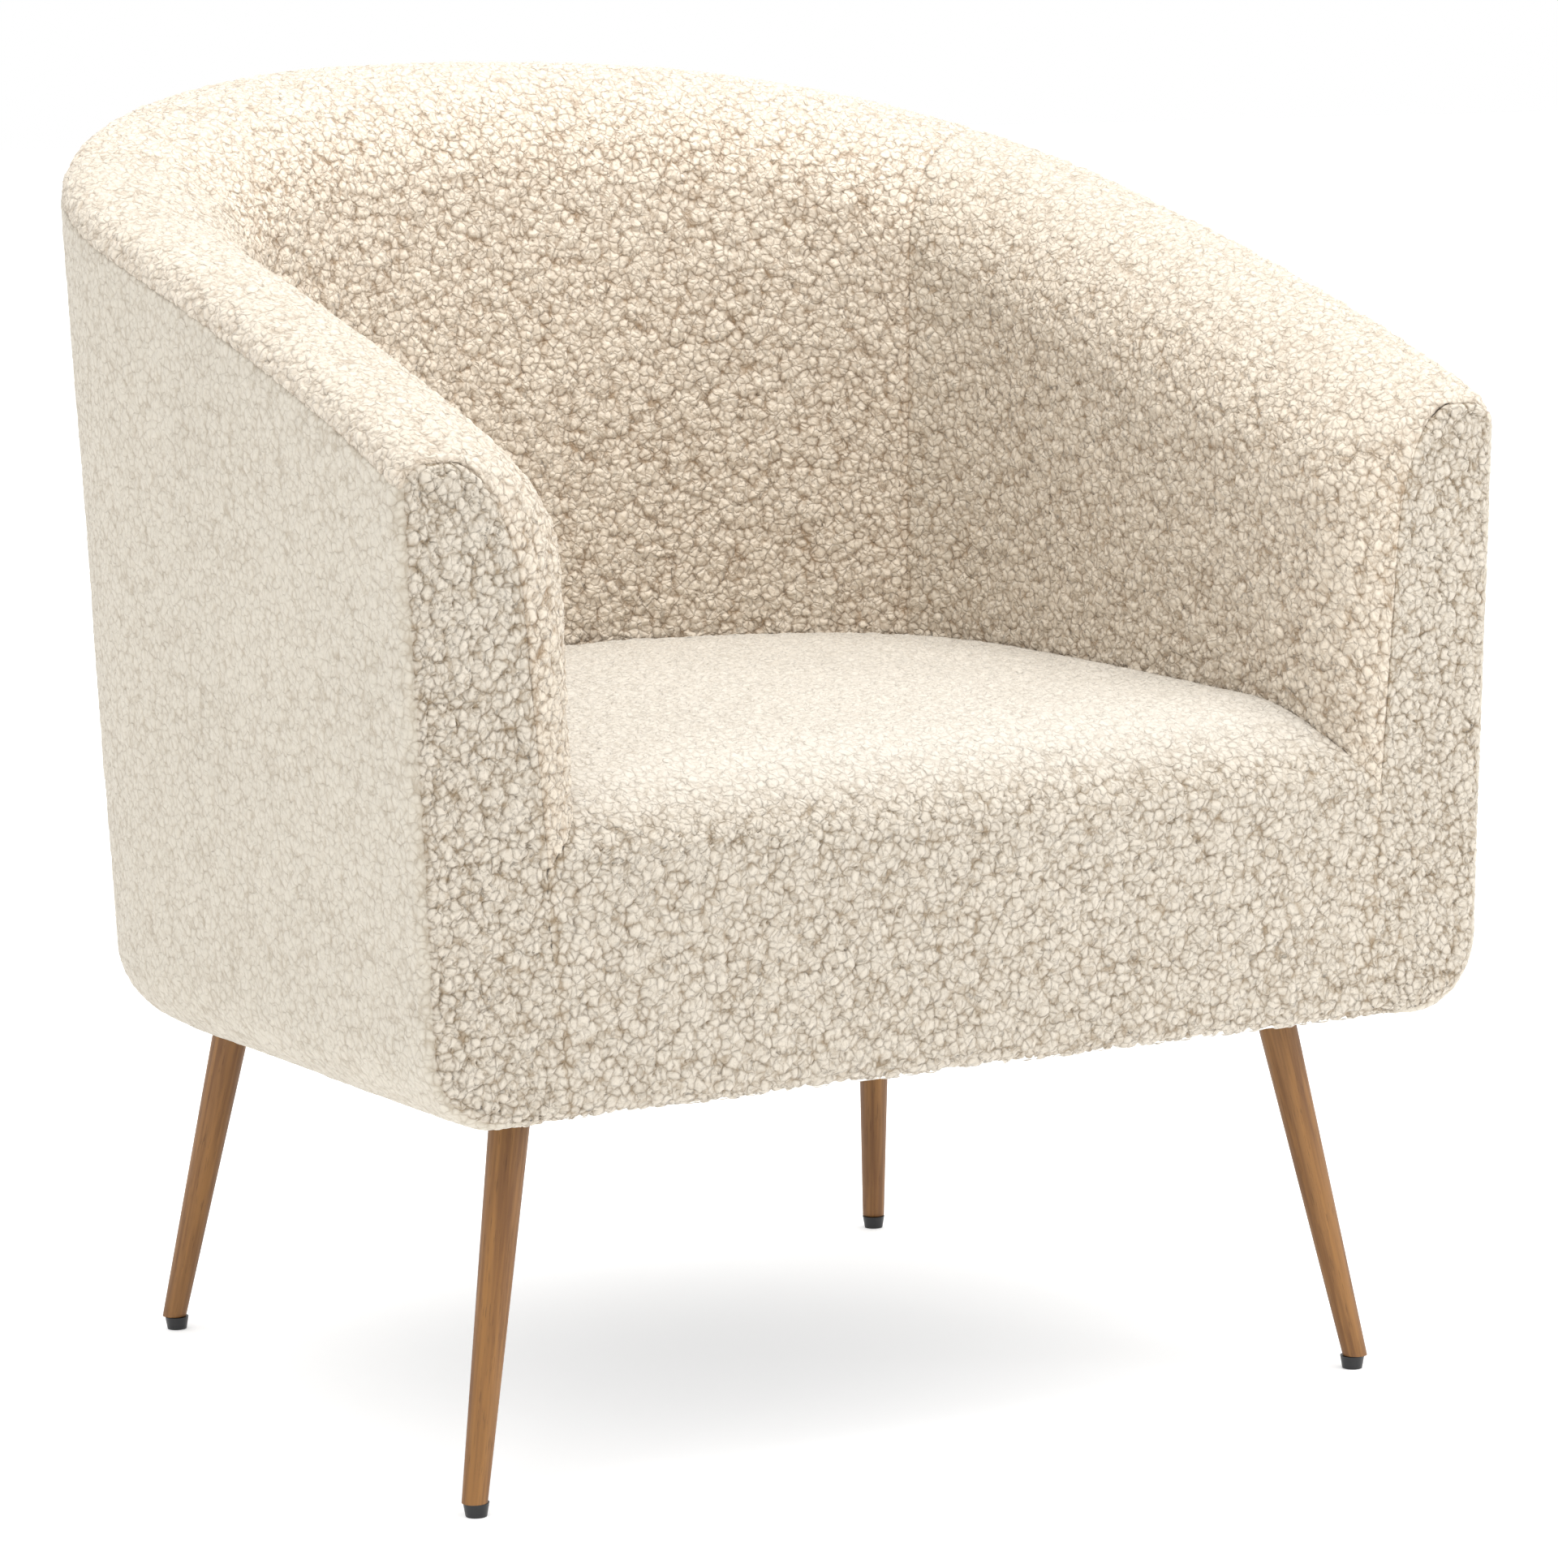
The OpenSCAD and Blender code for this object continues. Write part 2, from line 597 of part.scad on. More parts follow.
// ---- underside, legs ----
cloth_drop = gap + dust_cloth;
cloth_top = underside - gap;
module dust_cover() {
    outline = [for (s = both(concat(back_marks, tail(curve_marks), [station(y_front + 6)])))
        flat_at(s, lean(s) + lower_edge - 5)];
    color("dimgray") difference() {
        translate([0, 0, cloth_top - dust_cloth]) linear_extrude(dust_cloth) polygon(outline);
        for (i = [0:3]) translate([leg_head_at(i)[0], leg_head_at(i)[1], cloth_top - dust_cloth - 1])
            cylinder(h = dust_cloth + 2, r = bolt / 2 + gap);
    }
}

leg_top = underside - gap - dust_cloth - gap;
nut_barrel = bolt / 2 + gap + 0.8;
back_head = flat_at(back_leg_share, lean(back_leg_share) + back_leg_in);
// Legs 0 and 1 are the front pair, 2 and 3 the back pair, left before right.
function leg_side(i) = i % 2 == 0 ? -1 : 1;
function leg_head_at(i) = i < 2
    ? [leg_side(i) * (half_width - front_leg_side), y_front + front_leg_front]
    : [leg_side(i) * back_head[0], back_head[1]];
function leg_foot_at(i) = i < 2
    ? leg_head_at(i) + [leg_side(i) * front_spread, -front_reach]
    : leg_head_at(i) + [leg_side(i) * back_spread, back_reach];

module leg(i) {
    head = leg_head_at(i);
    foot = leg_foot_at(i);
    run = concat(head - foot, [leg_top]);
    length = norm(run);
    taper = (leg_head - leg_tip) / 2 / length;
    over = 8;
    color("saddlebrown") difference() {
        translate(concat(foot, [0])) rotate([0, acos(run[2] / length), atan2(run[1], run[0])])
        translate([0, 0, -over]) rotate(90)
        cylinder(h = length + 2 * over, r1 = leg_tip / 2 - taper * over, r2 = leg_head / 2 + taper * over);
        translate([foot[0] - 50, foot[1] - 50, -60]) cube([100, 100, 60 + glide_height + gap]);
        translate([head[0] - 50, head[1] - 50, leg_top]) cube([100, 100, 60]);
        translate([tip_at(i)[0], tip_at(i)[1], glide_height])
            cylinder(h = stem_length + 2 * gap, r = glide_stem / 2 + gap);
        translate([head[0], head[1], leg_top - bolt_grip - gap])
            cylinder(h = bolt_grip + 5, r = bolt / 2 + gap);
    }
}
module leg_front_left() { leg(0); }
module leg_front_right() { leg(1); }
module leg_back_left() { leg(2); }
module leg_back_right() { leg(3); }

// The middle of a leg's lower end, where its glide sits.
function tip_at(i) = leg_foot_at(i)
    + (leg_head_at(i) - leg_foot_at(i)) * (glide_height + stem_length / 2) / leg_top;
module glide(i) {
    color("black") translate([tip_at(i)[0], tip_at(i)[1], 0]) {
        cylinder(h = glide_height, r1 = glide_foot / 2, r2 = leg_tip / 2 + 0.3);
        translate([0, 0, glide_height - 0.5]) cylinder(h = stem_length + 0.5, r = glide_stem / 2);
    }
}
module glide_front_left() { glide(0); }
module glide_front_right() { glide(1); }
module glide_back_left() { glide(2); }
module glide_back_right() { glide(3); }

bolt_top = ring_top + 3;
module leg_bolts() {
    color("silver") for (i = [0:3]) translate([leg_head_at(i)[0], leg_head_at(i)[1], leg_top - bolt_grip])
        cylinder(h = bolt_top - leg_top + bolt_grip, r = bolt / 2);
}
module leg_t_nuts() {
    flange = 1.2;
    color("gainsboro") for (i = [0:3]) translate([leg_head_at(i)[0], leg_head_at(i)[1], frame_foot])
    difference() {
        union() {
            cylinder(h = ring_ply + gap + flange, r = nut_barrel);
            translate([0, 0, ring_ply + gap]) cylinder(h = flange, r = nut_flange / 2);
        }
        translate([0, 0, -1]) cylinder(h = ring_ply + 6, r = bolt / 2 + gap);
    }
}

outside_cover();
inside_back_cover();
inside_arm_cover_left();
inside_arm_cover_right();
arm_front_cover_left();
arm_front_cover_right();
seat_cover();
dust_cover();
seat_wadding();
seat_foam();
seat_front_pad();
back_foam();
arm_foam_left();
arm_foam_right();
arm_front_pad_left();
arm_front_pad_right();
back_webbing();
arm_webbing_left();
arm_webbing_right();
outer_liner();
seat_insulator();
seat_spring_1();
seat_spring_2();
seat_spring_3();
seat_spring_4();
seat_spring_5();
spring_clips();
spring_tie_wires();
base_ring();
front_rail();
side_rail_left();
side_rail_right();
back_rail();
rim_rail_board();
arm_front_board_left();
arm_front_board_right();
arm_post_left();
arm_post_right();
back_post_left();
back_post_right();
back_stile_left();
back_stile_right();
leg_front_left();
leg_front_right();
leg_back_left();
leg_back_right();
glide_front_left();
glide_front_right();
glide_back_left();
glide_back_right();
leg_bolts();
leg_t_nuts();
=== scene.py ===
"""Looks of an upholstered barrel armchair, built round its CAD frame.

The chair faces -Y, +Z is up and sizes are in metres. Each cover is a padded
panel of curly pile cloth whose shape follows the shell's own sizes.
"""

import itertools
import logging
import math
import re
from contextlib import contextmanager
from dataclasses import dataclass
from enum import Enum
from typing import Any, Iterator, Optional, Sequence

import bpy
import numpy as np
from mathutils import Matrix, Vector


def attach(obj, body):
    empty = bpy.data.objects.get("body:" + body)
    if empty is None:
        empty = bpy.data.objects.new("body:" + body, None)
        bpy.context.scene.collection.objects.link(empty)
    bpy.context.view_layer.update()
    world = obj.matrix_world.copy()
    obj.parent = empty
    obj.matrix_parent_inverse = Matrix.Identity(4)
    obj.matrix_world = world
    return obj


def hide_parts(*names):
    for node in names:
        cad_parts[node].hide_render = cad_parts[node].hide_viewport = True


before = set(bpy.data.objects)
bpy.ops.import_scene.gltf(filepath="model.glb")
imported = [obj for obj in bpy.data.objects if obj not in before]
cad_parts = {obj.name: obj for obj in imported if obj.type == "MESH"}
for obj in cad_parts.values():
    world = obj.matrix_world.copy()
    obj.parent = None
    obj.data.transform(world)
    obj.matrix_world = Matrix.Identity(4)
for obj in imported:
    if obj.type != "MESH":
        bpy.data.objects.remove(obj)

log = logging.getLogger("armchair")
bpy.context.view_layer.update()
Array = np.ndarray
Colour = tuple[float, float, float]
FINE_STEPS = 4001


# ---- the shell's form ----


def lengths(line: Array) -> Array:
    """How far along a line each of its points lies."""
    step = np.linalg.norm(np.diff(line, axis=0), axis=1)
    return np.concatenate([[0], np.cumsum(step)])


@dataclass(frozen=True)
class ShellForm:
    """The sizes that the covers share, and the lines that follow from them."""

    back_height: float = 0.770
    half_width: float = 0.3615
    front: float = -0.319
    straight_side: float = 0.338
    turn_depth: float = 0.300
    turn_share: float = 0.62
    squareness: float = 2.33
    arm_height: float = 0.577
    rim_sweep: float = 0.110
    underside: float = 0.222
    wall: float = 0.115
    arm_swell: float = 0.010
    back_swell: float = 0.020
    side_lean: float = 0.020
    back_lean: float = 0.059
    seam_drop: float = 0.020
    top_roll: float = 0.078
    lower_edge: float = 0.041
    front_roll: float = 0.040
    face_foot: float = 0.103
    face_head: float = 0.078
    back_seam: float = 0.43
    corner: float = 0.013
    cloth: float = 0.0074
    hang: float = 0.003

    @property
    def mitre(self) -> float:
        """How far the seam on a rounded front corner lies inside the corner."""
        return self.corner * (1 - math.sqrt(0.5))

    @property
    def turn_line(self) -> float:
        """Where the straight sides end and the back's curve starts."""
        return self.front + self.straight_side

    def rim_xy(self, s: Array) -> tuple[Array, Array]:
        """The rim line seen from above.

        Args:
            s: stations from -1, the left arm's front, to 1, the right's.

        Returns:
            The x and y of each station.
        """
        a = np.abs(s)
        turn = np.pi / 2 * (1 - np.minimum(a, self.turn_share) / self.turn_share)
        power = 2 / self.squareness
        x = np.sign(s) * self.half_width * np.maximum(np.cos(turn), 0) ** power
        side = (a - self.turn_share) / (1 - self.turn_share) * self.straight_side
        y = np.where(
            a > self.turn_share,
            self.turn_line - side,
            self.turn_line + self.turn_depth * np.maximum(np.sin(turn), 0) ** power,
        )
        return x, y

    def station(self, y: Array) -> Array:
        """Stations of the right side that lie at some y."""
        y = np.asarray(y, float)
        side = self.turn_share + (self.turn_line - y) / self.straight_side * (
            1 - self.turn_share
        )
        up = np.clip((y - self.turn_line) / self.turn_depth, 0, 1)
        curve = self.turn_share * (
            1 - np.arcsin(up ** (self.squareness / 2)) / (np.pi / 2)
        )
        return np.where(y <= self.turn_line, side, curve)

    def outward(self, s: Array) -> tuple[Array, Array]:
        """The rim line's outward direction at each station, in x and y."""
        x, y = self.rim_xy(s)
        power = self.squareness - 1
        gx = (np.abs(x) / self.half_width) ** power / self.half_width
        rise = np.maximum(y - self.turn_line, 0) / self.turn_depth
        gy = rise**power / self.turn_depth
        length = np.hypot(gx, gy)
        return np.sign(s) * gx / length, gy / length

    def at(self, s: Array, inset: Array, z: Array) -> Array:
        """Points that lie an inset inside the rim line, at a height.

        Args:
            s: stations, one for each section.
            inset: distances inside the rim line, one row for each section.
            z: heights, shaped as inset.

        Returns:
            The points, one row of points for each section.
        """
        x, y = self.rim_xy(s)
        nx, ny = self.outward(s)
        return np.stack(
            [x[:, None] - nx[:, None] * inset, y[:, None] - ny[:, None] * inset, z], -1
        )

    def back_share(self, s: Array) -> Array:
        """How far back a station lies, from 0 at the front to 1."""
        return (self.rim_xy(s)[1] - self.front) / (2 * -self.front)

    def rim(self, s: Array) -> Array:
        """The rim's height at each station."""
        u = self.back_share(s)
        rise = (self.back_height - self.arm_height) * u
        return self.arm_height + rise + self.rim_sweep * u * (1 - u) * (0.6 - u)

    def fall(self, z: Array) -> Array:
        """How far a height lies below the back's top, as a share."""
        return (self.back_height - z) / (self.back_height - self.underside)

    def outer(self, s: Array, z: Array) -> Array:
        """Inset of the outer face."""
        ny = self.outward(s)[1]
        lean = self.side_lean + (self.back_lean - self.side_lean) * ny**2
        return lean[:, None] * self.fall(z)

    def inner(self, s: Array, z: Array) -> Array:
        """Inset of the inner face behind the front roll."""
        swell = self.arm_swell + (self.back_swell - self.arm_swell) * self.back_share(s)
        return self.wall + swell[:, None] * self.fall(z)

    def face(self, z: Array) -> Array:
        """Inset of the inner edge of an arm's front panel."""
        rise = (z - self.underside) / (self.arm_height - 0.05 - self.underside)
        return self.face_foot - (self.face_foot - self.face_head) * np.clip(rise, 0, 1)

    def inside(self, s: Array, z: Array, turned: Array) -> Array:
        """Inset of the inner face, where turned is 0 at the arm's front."""
        front = self.face(z)
        return front + (self.inner(s, z) - front) * np.asarray(turned)[:, None]

    def ridge(self, s: Array) -> Array:
        """Inset of the line where the rim's inner roll starts."""
        return self.inner(s, self.rim(s)[:, None]) - self.top_roll

    def roll_share(self, z: Array, top: Any) -> Array:
        """How far up the rim's inner roll a height lies, from 0 to 1."""
        return np.clip((z - (top - self.top_roll)) / self.top_roll, 0, 1)

    def even_stations(self, low: float, high: float, count: int, inset: float) -> Array:
        """Stations that divide a stretch of the wall into equal lengths."""
        fine = np.linspace(low, high, FINE_STEPS)
        flat = np.zeros((FINE_STEPS, 1))
        run = lengths(self.at(fine, flat + inset, flat)[:, 0])
        return np.interp(np.linspace(0, run[-1], count), run, fine)


SHELL = ShellForm()


def even_path(inset: Array, z: Array, count: int) -> tuple[Array, Array]:
    """Divides each section's path into equal lengths.

    Args:
        inset: insets along each path, one row for each section.
        z: heights, shaped as inset.
        count: how many points each path gets.

    Returns:
        The insets and heights of the new points.
    """
    step = np.hypot(np.diff(inset, axis=1), np.diff(z, axis=1))
    run = np.concatenate([np.zeros((len(z), 1)), np.cumsum(step, axis=1)], axis=1)
    want = np.linspace(0, 1, count)
    rows = [
        (np.interp(want * r[-1], r, a), np.interp(want * r[-1], r, b))
        for r, a, b in zip(run, inset, z)
    ]
    return np.array([r[0] for r in rows]), np.array([r[1] for r in rows])


def rounding(distance: Array, radius: Array) -> Array:
    """How far a quarter-round edge falls back at a distance from its edge."""
    left = np.clip(1 - distance / radius, 0, 1)
    return radius * (1 - np.sqrt(1 - left**2))


def pulled_in(inset: Array, z: Array, amount: Array) -> tuple[Array, Array]:
    """Moves sections inward, square to their own line.

    Args:
        inset: insets along each section.
        z: heights along each section.
        amount: how far each point moves.

    Returns:
        The new insets and heights.
    """
    di, dz = np.gradient(inset, axis=-1), np.gradient(z, axis=-1)
    length = np.maximum(np.hypot(di, dz), 1e-9)
    return inset + amount * dz / length, z - amount * di / length


def hung(z: Array) -> Array:
    """Heights near the underside, lowered to where the pile hangs."""
    near = np.clip(1 - (z - SHELL.underside) / 0.045, 0, 1)
    return z - SHELL.hang * near


# ---- the pile ----


CELL_PRIMES = (73856093, 19349663, 83492791)
SEED_PRIME = 974711
HASH_FACTOR, HASH_STEP = 6364136223846793005, 1442695040888963407
HASH_MASK = 0x7FFFFFFFFFFFFFFF
DRAW_STEPS = 0x1000000


def scatter(cells: Array, seed: int) -> Array:
    """Four even random numbers for each whole cell, the same in every run."""
    a, b, c = (cells.astype(np.int64) * CELL_PRIMES).T
    h = (a ^ b ^ c) + seed * SEED_PRIME
    out = []
    for k in range(4):
        h = (h * HASH_FACTOR + HASH_STEP + k) & HASH_MASK
        out.append(((h ^ (h >> 31)) >> 13 & (DRAW_STEPS - 1)) / float(DRAW_STEPS))
    return np.stack(out, -1).astype(np.float32)


def drift(points: Array, cell: float, seed: int) -> Array:
    """Smooth random vectors from -1 to 1 that change over about a cell."""
    g = points / cell
    low = np.floor(g)
    f = (g - low).astype(np.float32)
    f = f * f * (3 - 2 * f)
    total = np.zeros((len(points), 3), np.float32)
    for corner in itertools.product((0, 1), repeat=3):
        x, y, z = (f[:, k] if c else 1 - f[:, k] for k, c in enumerate(corner))
        total += (x * y * z)[:, None] * scatter(low + corner, seed)[:, :3]
    return total * 2 - 1


def curls(points: Array, cell: float, seed: int) -> tuple[Array, Array]:
    """The tops of round curls that stand close together, with creases between.

    Args:
        points: where the height is wanted.
        cell: the distance from one curl to the next.
        seed: which scatter of curls.

    Returns:
        The height from 0 to 1, and a random number that is the same all over
        a curl.
    """
    g = points / cell
    low = np.floor(g)
    first = np.full(len(points), 9.0, np.float32)
    second = np.full(len(points), 9.0, np.float32)
    owner = np.zeros(len(points), np.float32)
    stand = np.zeros(len(points), np.float32)
    for step in itertools.product((-1, 0, 1), repeat=3):
        base = low + step
        r = scatter(base, seed)
        away = (g - base).astype(np.float32) - r[:, :3]
        far = np.sqrt((away**2).sum(-1))
        closer = far < first
        second = np.where(closer, first, np.minimum(second, far))
        owner = np.where(closer, r[:, 0], owner)
        stand = np.where(closer, r[:, 3], stand)
        first = np.where(closer, far, first)
    dome = np.sqrt(np.maximum(1 - (first / 1.05) ** 2, 0))
    gap = np.clip((second - first) / 0.34, 0, 1)
    crease = 1 - (1 - gap) ** 2
    return (0.42 * dome + 0.58 * crease) * (0.72 + 0.28 * stand), owner


@dataclass(frozen=True)
class Pile:
    """How the cloth's curls stand on a panel."""

    curl: float = 0.0062
    rise: float = 0.0026
    clump: float = 0.0135
    clump_rise: float = 0.0024
    wander: float = 0.0018
    swell: float = 0.0012
    seed: int = 7

    def relief(self, points: Array) -> tuple[Array, Array, Array]:
        """The pile on a surface.

        Args:
            points: points of the surface.

        Returns:
            The height below the tips in metres, 0 or less, how open each point
            is to the light from 0 to 1, and a random tone for each curl.
        """
        bent = points + drift(points, self.curl * 1.7, self.seed + 1) * self.wander
        small, tone = curls(bent, self.curl, self.seed + 2)
        large, _ = curls(bent, self.clump, self.seed + 3)
        broad = drift(points, 0.055, self.seed + 4)[:, 0]
        open_to = np.clip(0.30 * small + 0.75 * large, 0, 1)
        depth = (
            (small - 1) * self.rise
            + (large - 1) * self.clump_rise
            + (broad - 1) * self.swell / 2
        )
        return depth.astype(float), open_to, tone


CURLY = Pile()
COMBED = Pile(curl=0.0052, rise=0.0012, clump=0.015, clump_rise=0.0007, seed=31)


# ---- shader writing ----


class Wire:
    """A socket whose sums are written as Python expressions."""

    def __init__(self, finish: "Nodes", socket: Any) -> None:
        """Keeps the socket and the material that it is in."""
        self.finish, self.socket = finish, socket

    def math(self, operation: str, *others: Any) -> "Wire":
        """Adds a Math node that takes this wire first."""
        return self.finish.add(
            "ShaderNodeMath", {"operation": operation}, [self, *others]
        )

    def __add__(self, other: Any) -> "Wire":
        """This and another."""
        return self.math("ADD", other)

    def __mul__(self, other: Any) -> "Wire":
        """This times another."""
        return self.math("MULTIPLY", other)

    def __sub__(self, other: Any) -> "Wire":
        """This less another."""
        return self.math("SUBTRACT", other)

    def __rsub__(self, other: Any) -> "Wire":
        """Another less this."""
        return self.finish.add(
            "ShaderNodeMath", {"operation": "SUBTRACT"}, [other, self]
        )

    __radd__ = __add__
    __rmul__ = __mul__

    def between(self, low: float, high: float) -> "Wire":
        """A smooth step from 0 at low to 1 at high."""
        return self.finish.add(
            "ShaderNodeMapRange",
            {"interpolation_type": "SMOOTHSTEP"},
            {"Value": self, "From Min": low, "From Max": high},
        )


class Nodes:
    """A material, with one method that makes each of its nodes."""

    def __init__(self, name: str, roughness: float) -> None:
        """Makes a material that has only its shader and output."""
        self.material = bpy.data.materials.new(name)
        self.material.use_nodes = True
        self.tree = self.material.node_tree
        self.tree.nodes.clear()
        self.output = self.tree.nodes.new("ShaderNodeOutputMaterial")
        self.shader = self.tree.nodes.new("ShaderNodeBsdfPrincipled")
        self.shader.inputs["Roughness"].default_value = roughness
        self.tree.links.new(self.shader.outputs[0], self.output.inputs["Surface"])

    def add(
        self,
        kind: str,
        settings: Optional[dict[str, Any]] = None,
        inputs: Any = (),
        output: Any = 0,
    ) -> Wire:
        """Adds a node.

        Args:
            kind: the node's type.
            settings: its own settings, which are set first.
            inputs: values or wires by socket name or place.
            output: the name or place of the socket to return.

        Returns:
            The chosen output.
        """
        node = self.tree.nodes.new(kind)
        for key, value in (settings or {}).items():
            setattr(node, key, value)
        pairs = inputs.items() if isinstance(inputs, dict) else enumerate(inputs)
        for key, value in pairs:
            self.join(node.inputs[key], value)
        return Wire(self, node.outputs[output])

    def join(self, socket: Any, value: Any) -> None:
        """Links a wire to a socket, or sets a value on it."""
        if isinstance(value, Wire):
            self.tree.links.new(value.socket, socket)
        elif isinstance(value, (tuple, list)) and len(value) == 3 and len(
            socket.default_value
        ) == 4:
            socket.default_value = (*value, 1.0)
        else:
            socket.default_value = value

    def feed(self, **values: Any) -> bpy.types.Material:
        """Sets the shader's sockets, named with _ for a space.

        Returns:
            The finished material.
        """
        for key, value in values.items():
            self.join(self.shader.inputs[key.replace("_", " ")], value)
        return self.material

    def set(self, **values: Any) -> None:
        """Sets values on the shader's sockets, named with _ for a space."""
        for key, value in values.items():
            self.shader.inputs[key.replace("_", " ")].default_value = value

    def attribute(self, name: str) -> Wire:
        """A number that the mesh carries on its vertices."""
        return self.add("ShaderNodeAttribute", {"attribute_name": name}, output="Fac")

    def cells(self, spot: Wire, scale: float, feature: str) -> Wire:
        """Distance to the nearest cell's middle or edge."""
        return self.add(
            "ShaderNodeTexVoronoi",
            {"feature": feature},
            {"Vector": spot, "Scale": scale},
            "Distance",
        )

    def shaded(self, colour: Any, shade: Wire) -> Wire:
        """A colour times a grey shade."""
        grey = self.add("ShaderNodeCombineColor", None, [shade, shade, shade])
        return self.mix(1.0, colour, grey, "MULTIPLY")

    def place(self, rotation: Sequence[float] = (0, 0, 0)) -> Wire:
        """The point in the piece's own space, turned where it is wanted."""
        spot = self.add("ShaderNodeTexCoord", output="Object")
        if any(rotation):
            spot = self.add(
                "ShaderNodeMapping", None, {"Vector": spot, "Rotation": rotation}
            )
        return spot

    def stretch(self, spot: Wire, scale: Sequence[float]) -> Wire:
        """A point whose axes are multiplied by three numbers."""
        return self.add(
            "ShaderNodeVectorMath", {"operation": "MULTIPLY"}, [spot, scale]
        )

    def noise(self, spot: Wire, scale: float, detail: float = 2.0) -> Wire:
        """Cloudy noise from 0 to 1 at a scale per metre."""
        return self.add(
            "ShaderNodeTexNoise",
            {"noise_dimensions": "3D"},
            {"Vector": spot, "Scale": scale, "Detail": detail},
        )

    def mix(self, share: Any, low: Any, high: Any, blend: str = "MIX") -> Wire:
        """Mixes two colours by a share."""
        node = self.tree.nodes.new("ShaderNodeMix")
        node.data_type, node.blend_type = "RGBA", blend
        self.join(node.inputs[0], share)
        for key, value in ((6, low), (7, high)):
            self.join(node.inputs[key], value)
        return Wire(self, node.outputs[2])

    def bump(self, height: Wire, strength: float, distance: float) -> Wire:
        """A fine relief, in metres."""
        return self.add(
            "ShaderNodeBump",
            None,
            {"Height": height, "Strength": strength, "Distance": distance},
        )


@dataclass(frozen=True)
class PileCloth:
    """Cream bouclé cloth with a curly pile, with painted shade in its creases."""

    name: str
    tip: Colour
    # Root is a painted shade colour for the creases between curls and clumps, where
    # less light reaches.
    root: Colour
    # Lit is painted top light: the colour that flat pile on the tops moves toward, set
    # for how light falls there.
    lit: Colour = (0.68, 0.648, 0.592)
    curl: float = 0.0050
    relief: float = 0.0024
    contrast: float = 1.0
    sheen: float = 0.25
    top_light_share: float = 0.55

    def make(self) -> bpy.types.Material:
        """Writes the cloth's material."""
        n = Nodes(self.name, 0.92)
        spot = n.place()
        # The mesh's "pile" attribute is painted shade: darker between clumps and near
        # seams.
        clump, tone, calm = map(n.attribute, ("pile", "tone", "calm"))
        wander = n.add(
            "ShaderNodeTexNoise", None, {"Vector": spot, "Scale": 150.0, "Detail": 1.0},
            "Color",
        )
        push = n.add(
            "ShaderNodeVectorMath", {"operation": "SCALE"}, {0: wander, "Scale": 0.0058}
        )
        bent = n.add("ShaderNodeVectorMath", {"operation": "ADD"}, [spot, push])
        fluff = n.noise(spot, 850.0, 2.0)
        broad = n.noise(spot, 9.0, 1.0)
        ball = self.balls(n, bent, 1 / self.curl)
        loop = self.round_top(n, bent, 2.4 / self.curl)
        height = ball * 0.72 + loop * 0.20 + fluff * 0.16
        # Painted shade: the colour runs from tip to root where the pile is less open to
        # the light.
        open_to = (
            ball * 0.56 + clump * 0.50 + loop * 0.10 + (fluff - 0.5) * 0.24
        ).between(0.18, 0.96)
        # Painted top light: flat pile moves toward the lit colour and shows less
        # painted crease shade.
        toward_top_light = calm * self.top_light_share
        strong = (1 - toward_top_light) * self.contrast
        share = open_to * strong + (1 - strong)
        colour = n.mix(toward_top_light, n.mix(share, self.root, self.tip), self.lit)
        shade = 0.96 + tone * 0.04 + (broad - 0.5) * 0.05
        n.set(
            Sheen_Weight=self.sheen,
            Sheen_Roughness=0.55,
            Sheen_Tint=(1.0, 0.97, 0.92, 1.0),
            Specular_IOR_Level=0.22,
        )
        return n.feed(
            Base_Color=n.shaded(colour, shade),
            Roughness=0.80 + fluff * 0.1,
            Normal=n.bump(height * (1 - calm * 0.4), 1.0, self.relief),
        )

    def round_top(self, n: "Nodes", spot: Wire, scale: float) -> Wire:
        """Round tufts, highest at their middles."""
        far = n.cells(spot, scale, "F1")
        return (1 - far * far * 1.15).math("MAXIMUM", 0.0)

    def balls(self, n: "Nodes", spot: Wire, scale: float) -> Wire:
        """Round tufts packed side by side, with soft creases between them.

        Args:
            n: the material's nodes.
            spot: where the pattern is read.
            scale: tufts to the metre.

        Returns:
            The height of the tufts, 1 on top and near 0 in the creases.
        """
        edge = n.cells(spot, scale, "DISTANCE_TO_EDGE")
        left = (1 - edge * 2.6).math("MAXIMUM", 0.0)
        return self.round_top(n, spot, scale) * 0.60 + (1 - left * left) * 0.40


@dataclass(frozen=True)
class LegWood:
    """Oiled wood whose grain runs along a leg.

    The layers hold the stretch along the leg, scale and detail of its waves,
    grain, pores and cloudiness.
    """

    name: str
    light: Colour
    dark: Colour
    tilt: tuple[float, float, float]
    layers: tuple[tuple[float, float, float], ...] = (
        (0.06, 90.0, 3.0),
        (0.035, 420.0, 4.0),
        (0.05, 1500.0, 2.0),
        (0.25, 24.0, 2.0),
    )

    def make(self) -> bpy.types.Material:
        """Writes the wood's material."""
        n = Nodes(self.name, 0.45)
        spot = n.place(self.tilt)
        wave, grain, pores, cloud = (
            n.noise(n.stretch(spot, (1.0, 1.0, along)), scale, detail)
            for along, scale, detail in self.layers
        )
        streak = (wave * 0.55 + grain * 0.55).between(0.38, 0.72)
        colour = n.mix(streak, self.dark, self.light)
        pore = pores.between(0.60, 0.70)
        colour = n.mix(pore * 0.45, colour, tuple(c * 0.45 for c in self.dark))
        return n.feed(
            Base_Color=n.shaded(colour, 0.90 + cloud * 0.2),
            Roughness=0.58 - streak * 0.14 + pore * 0.1,
            Normal=n.bump(grain * 0.6 + (1 - pore) * 0.4, 0.35, 0.0004),
        )


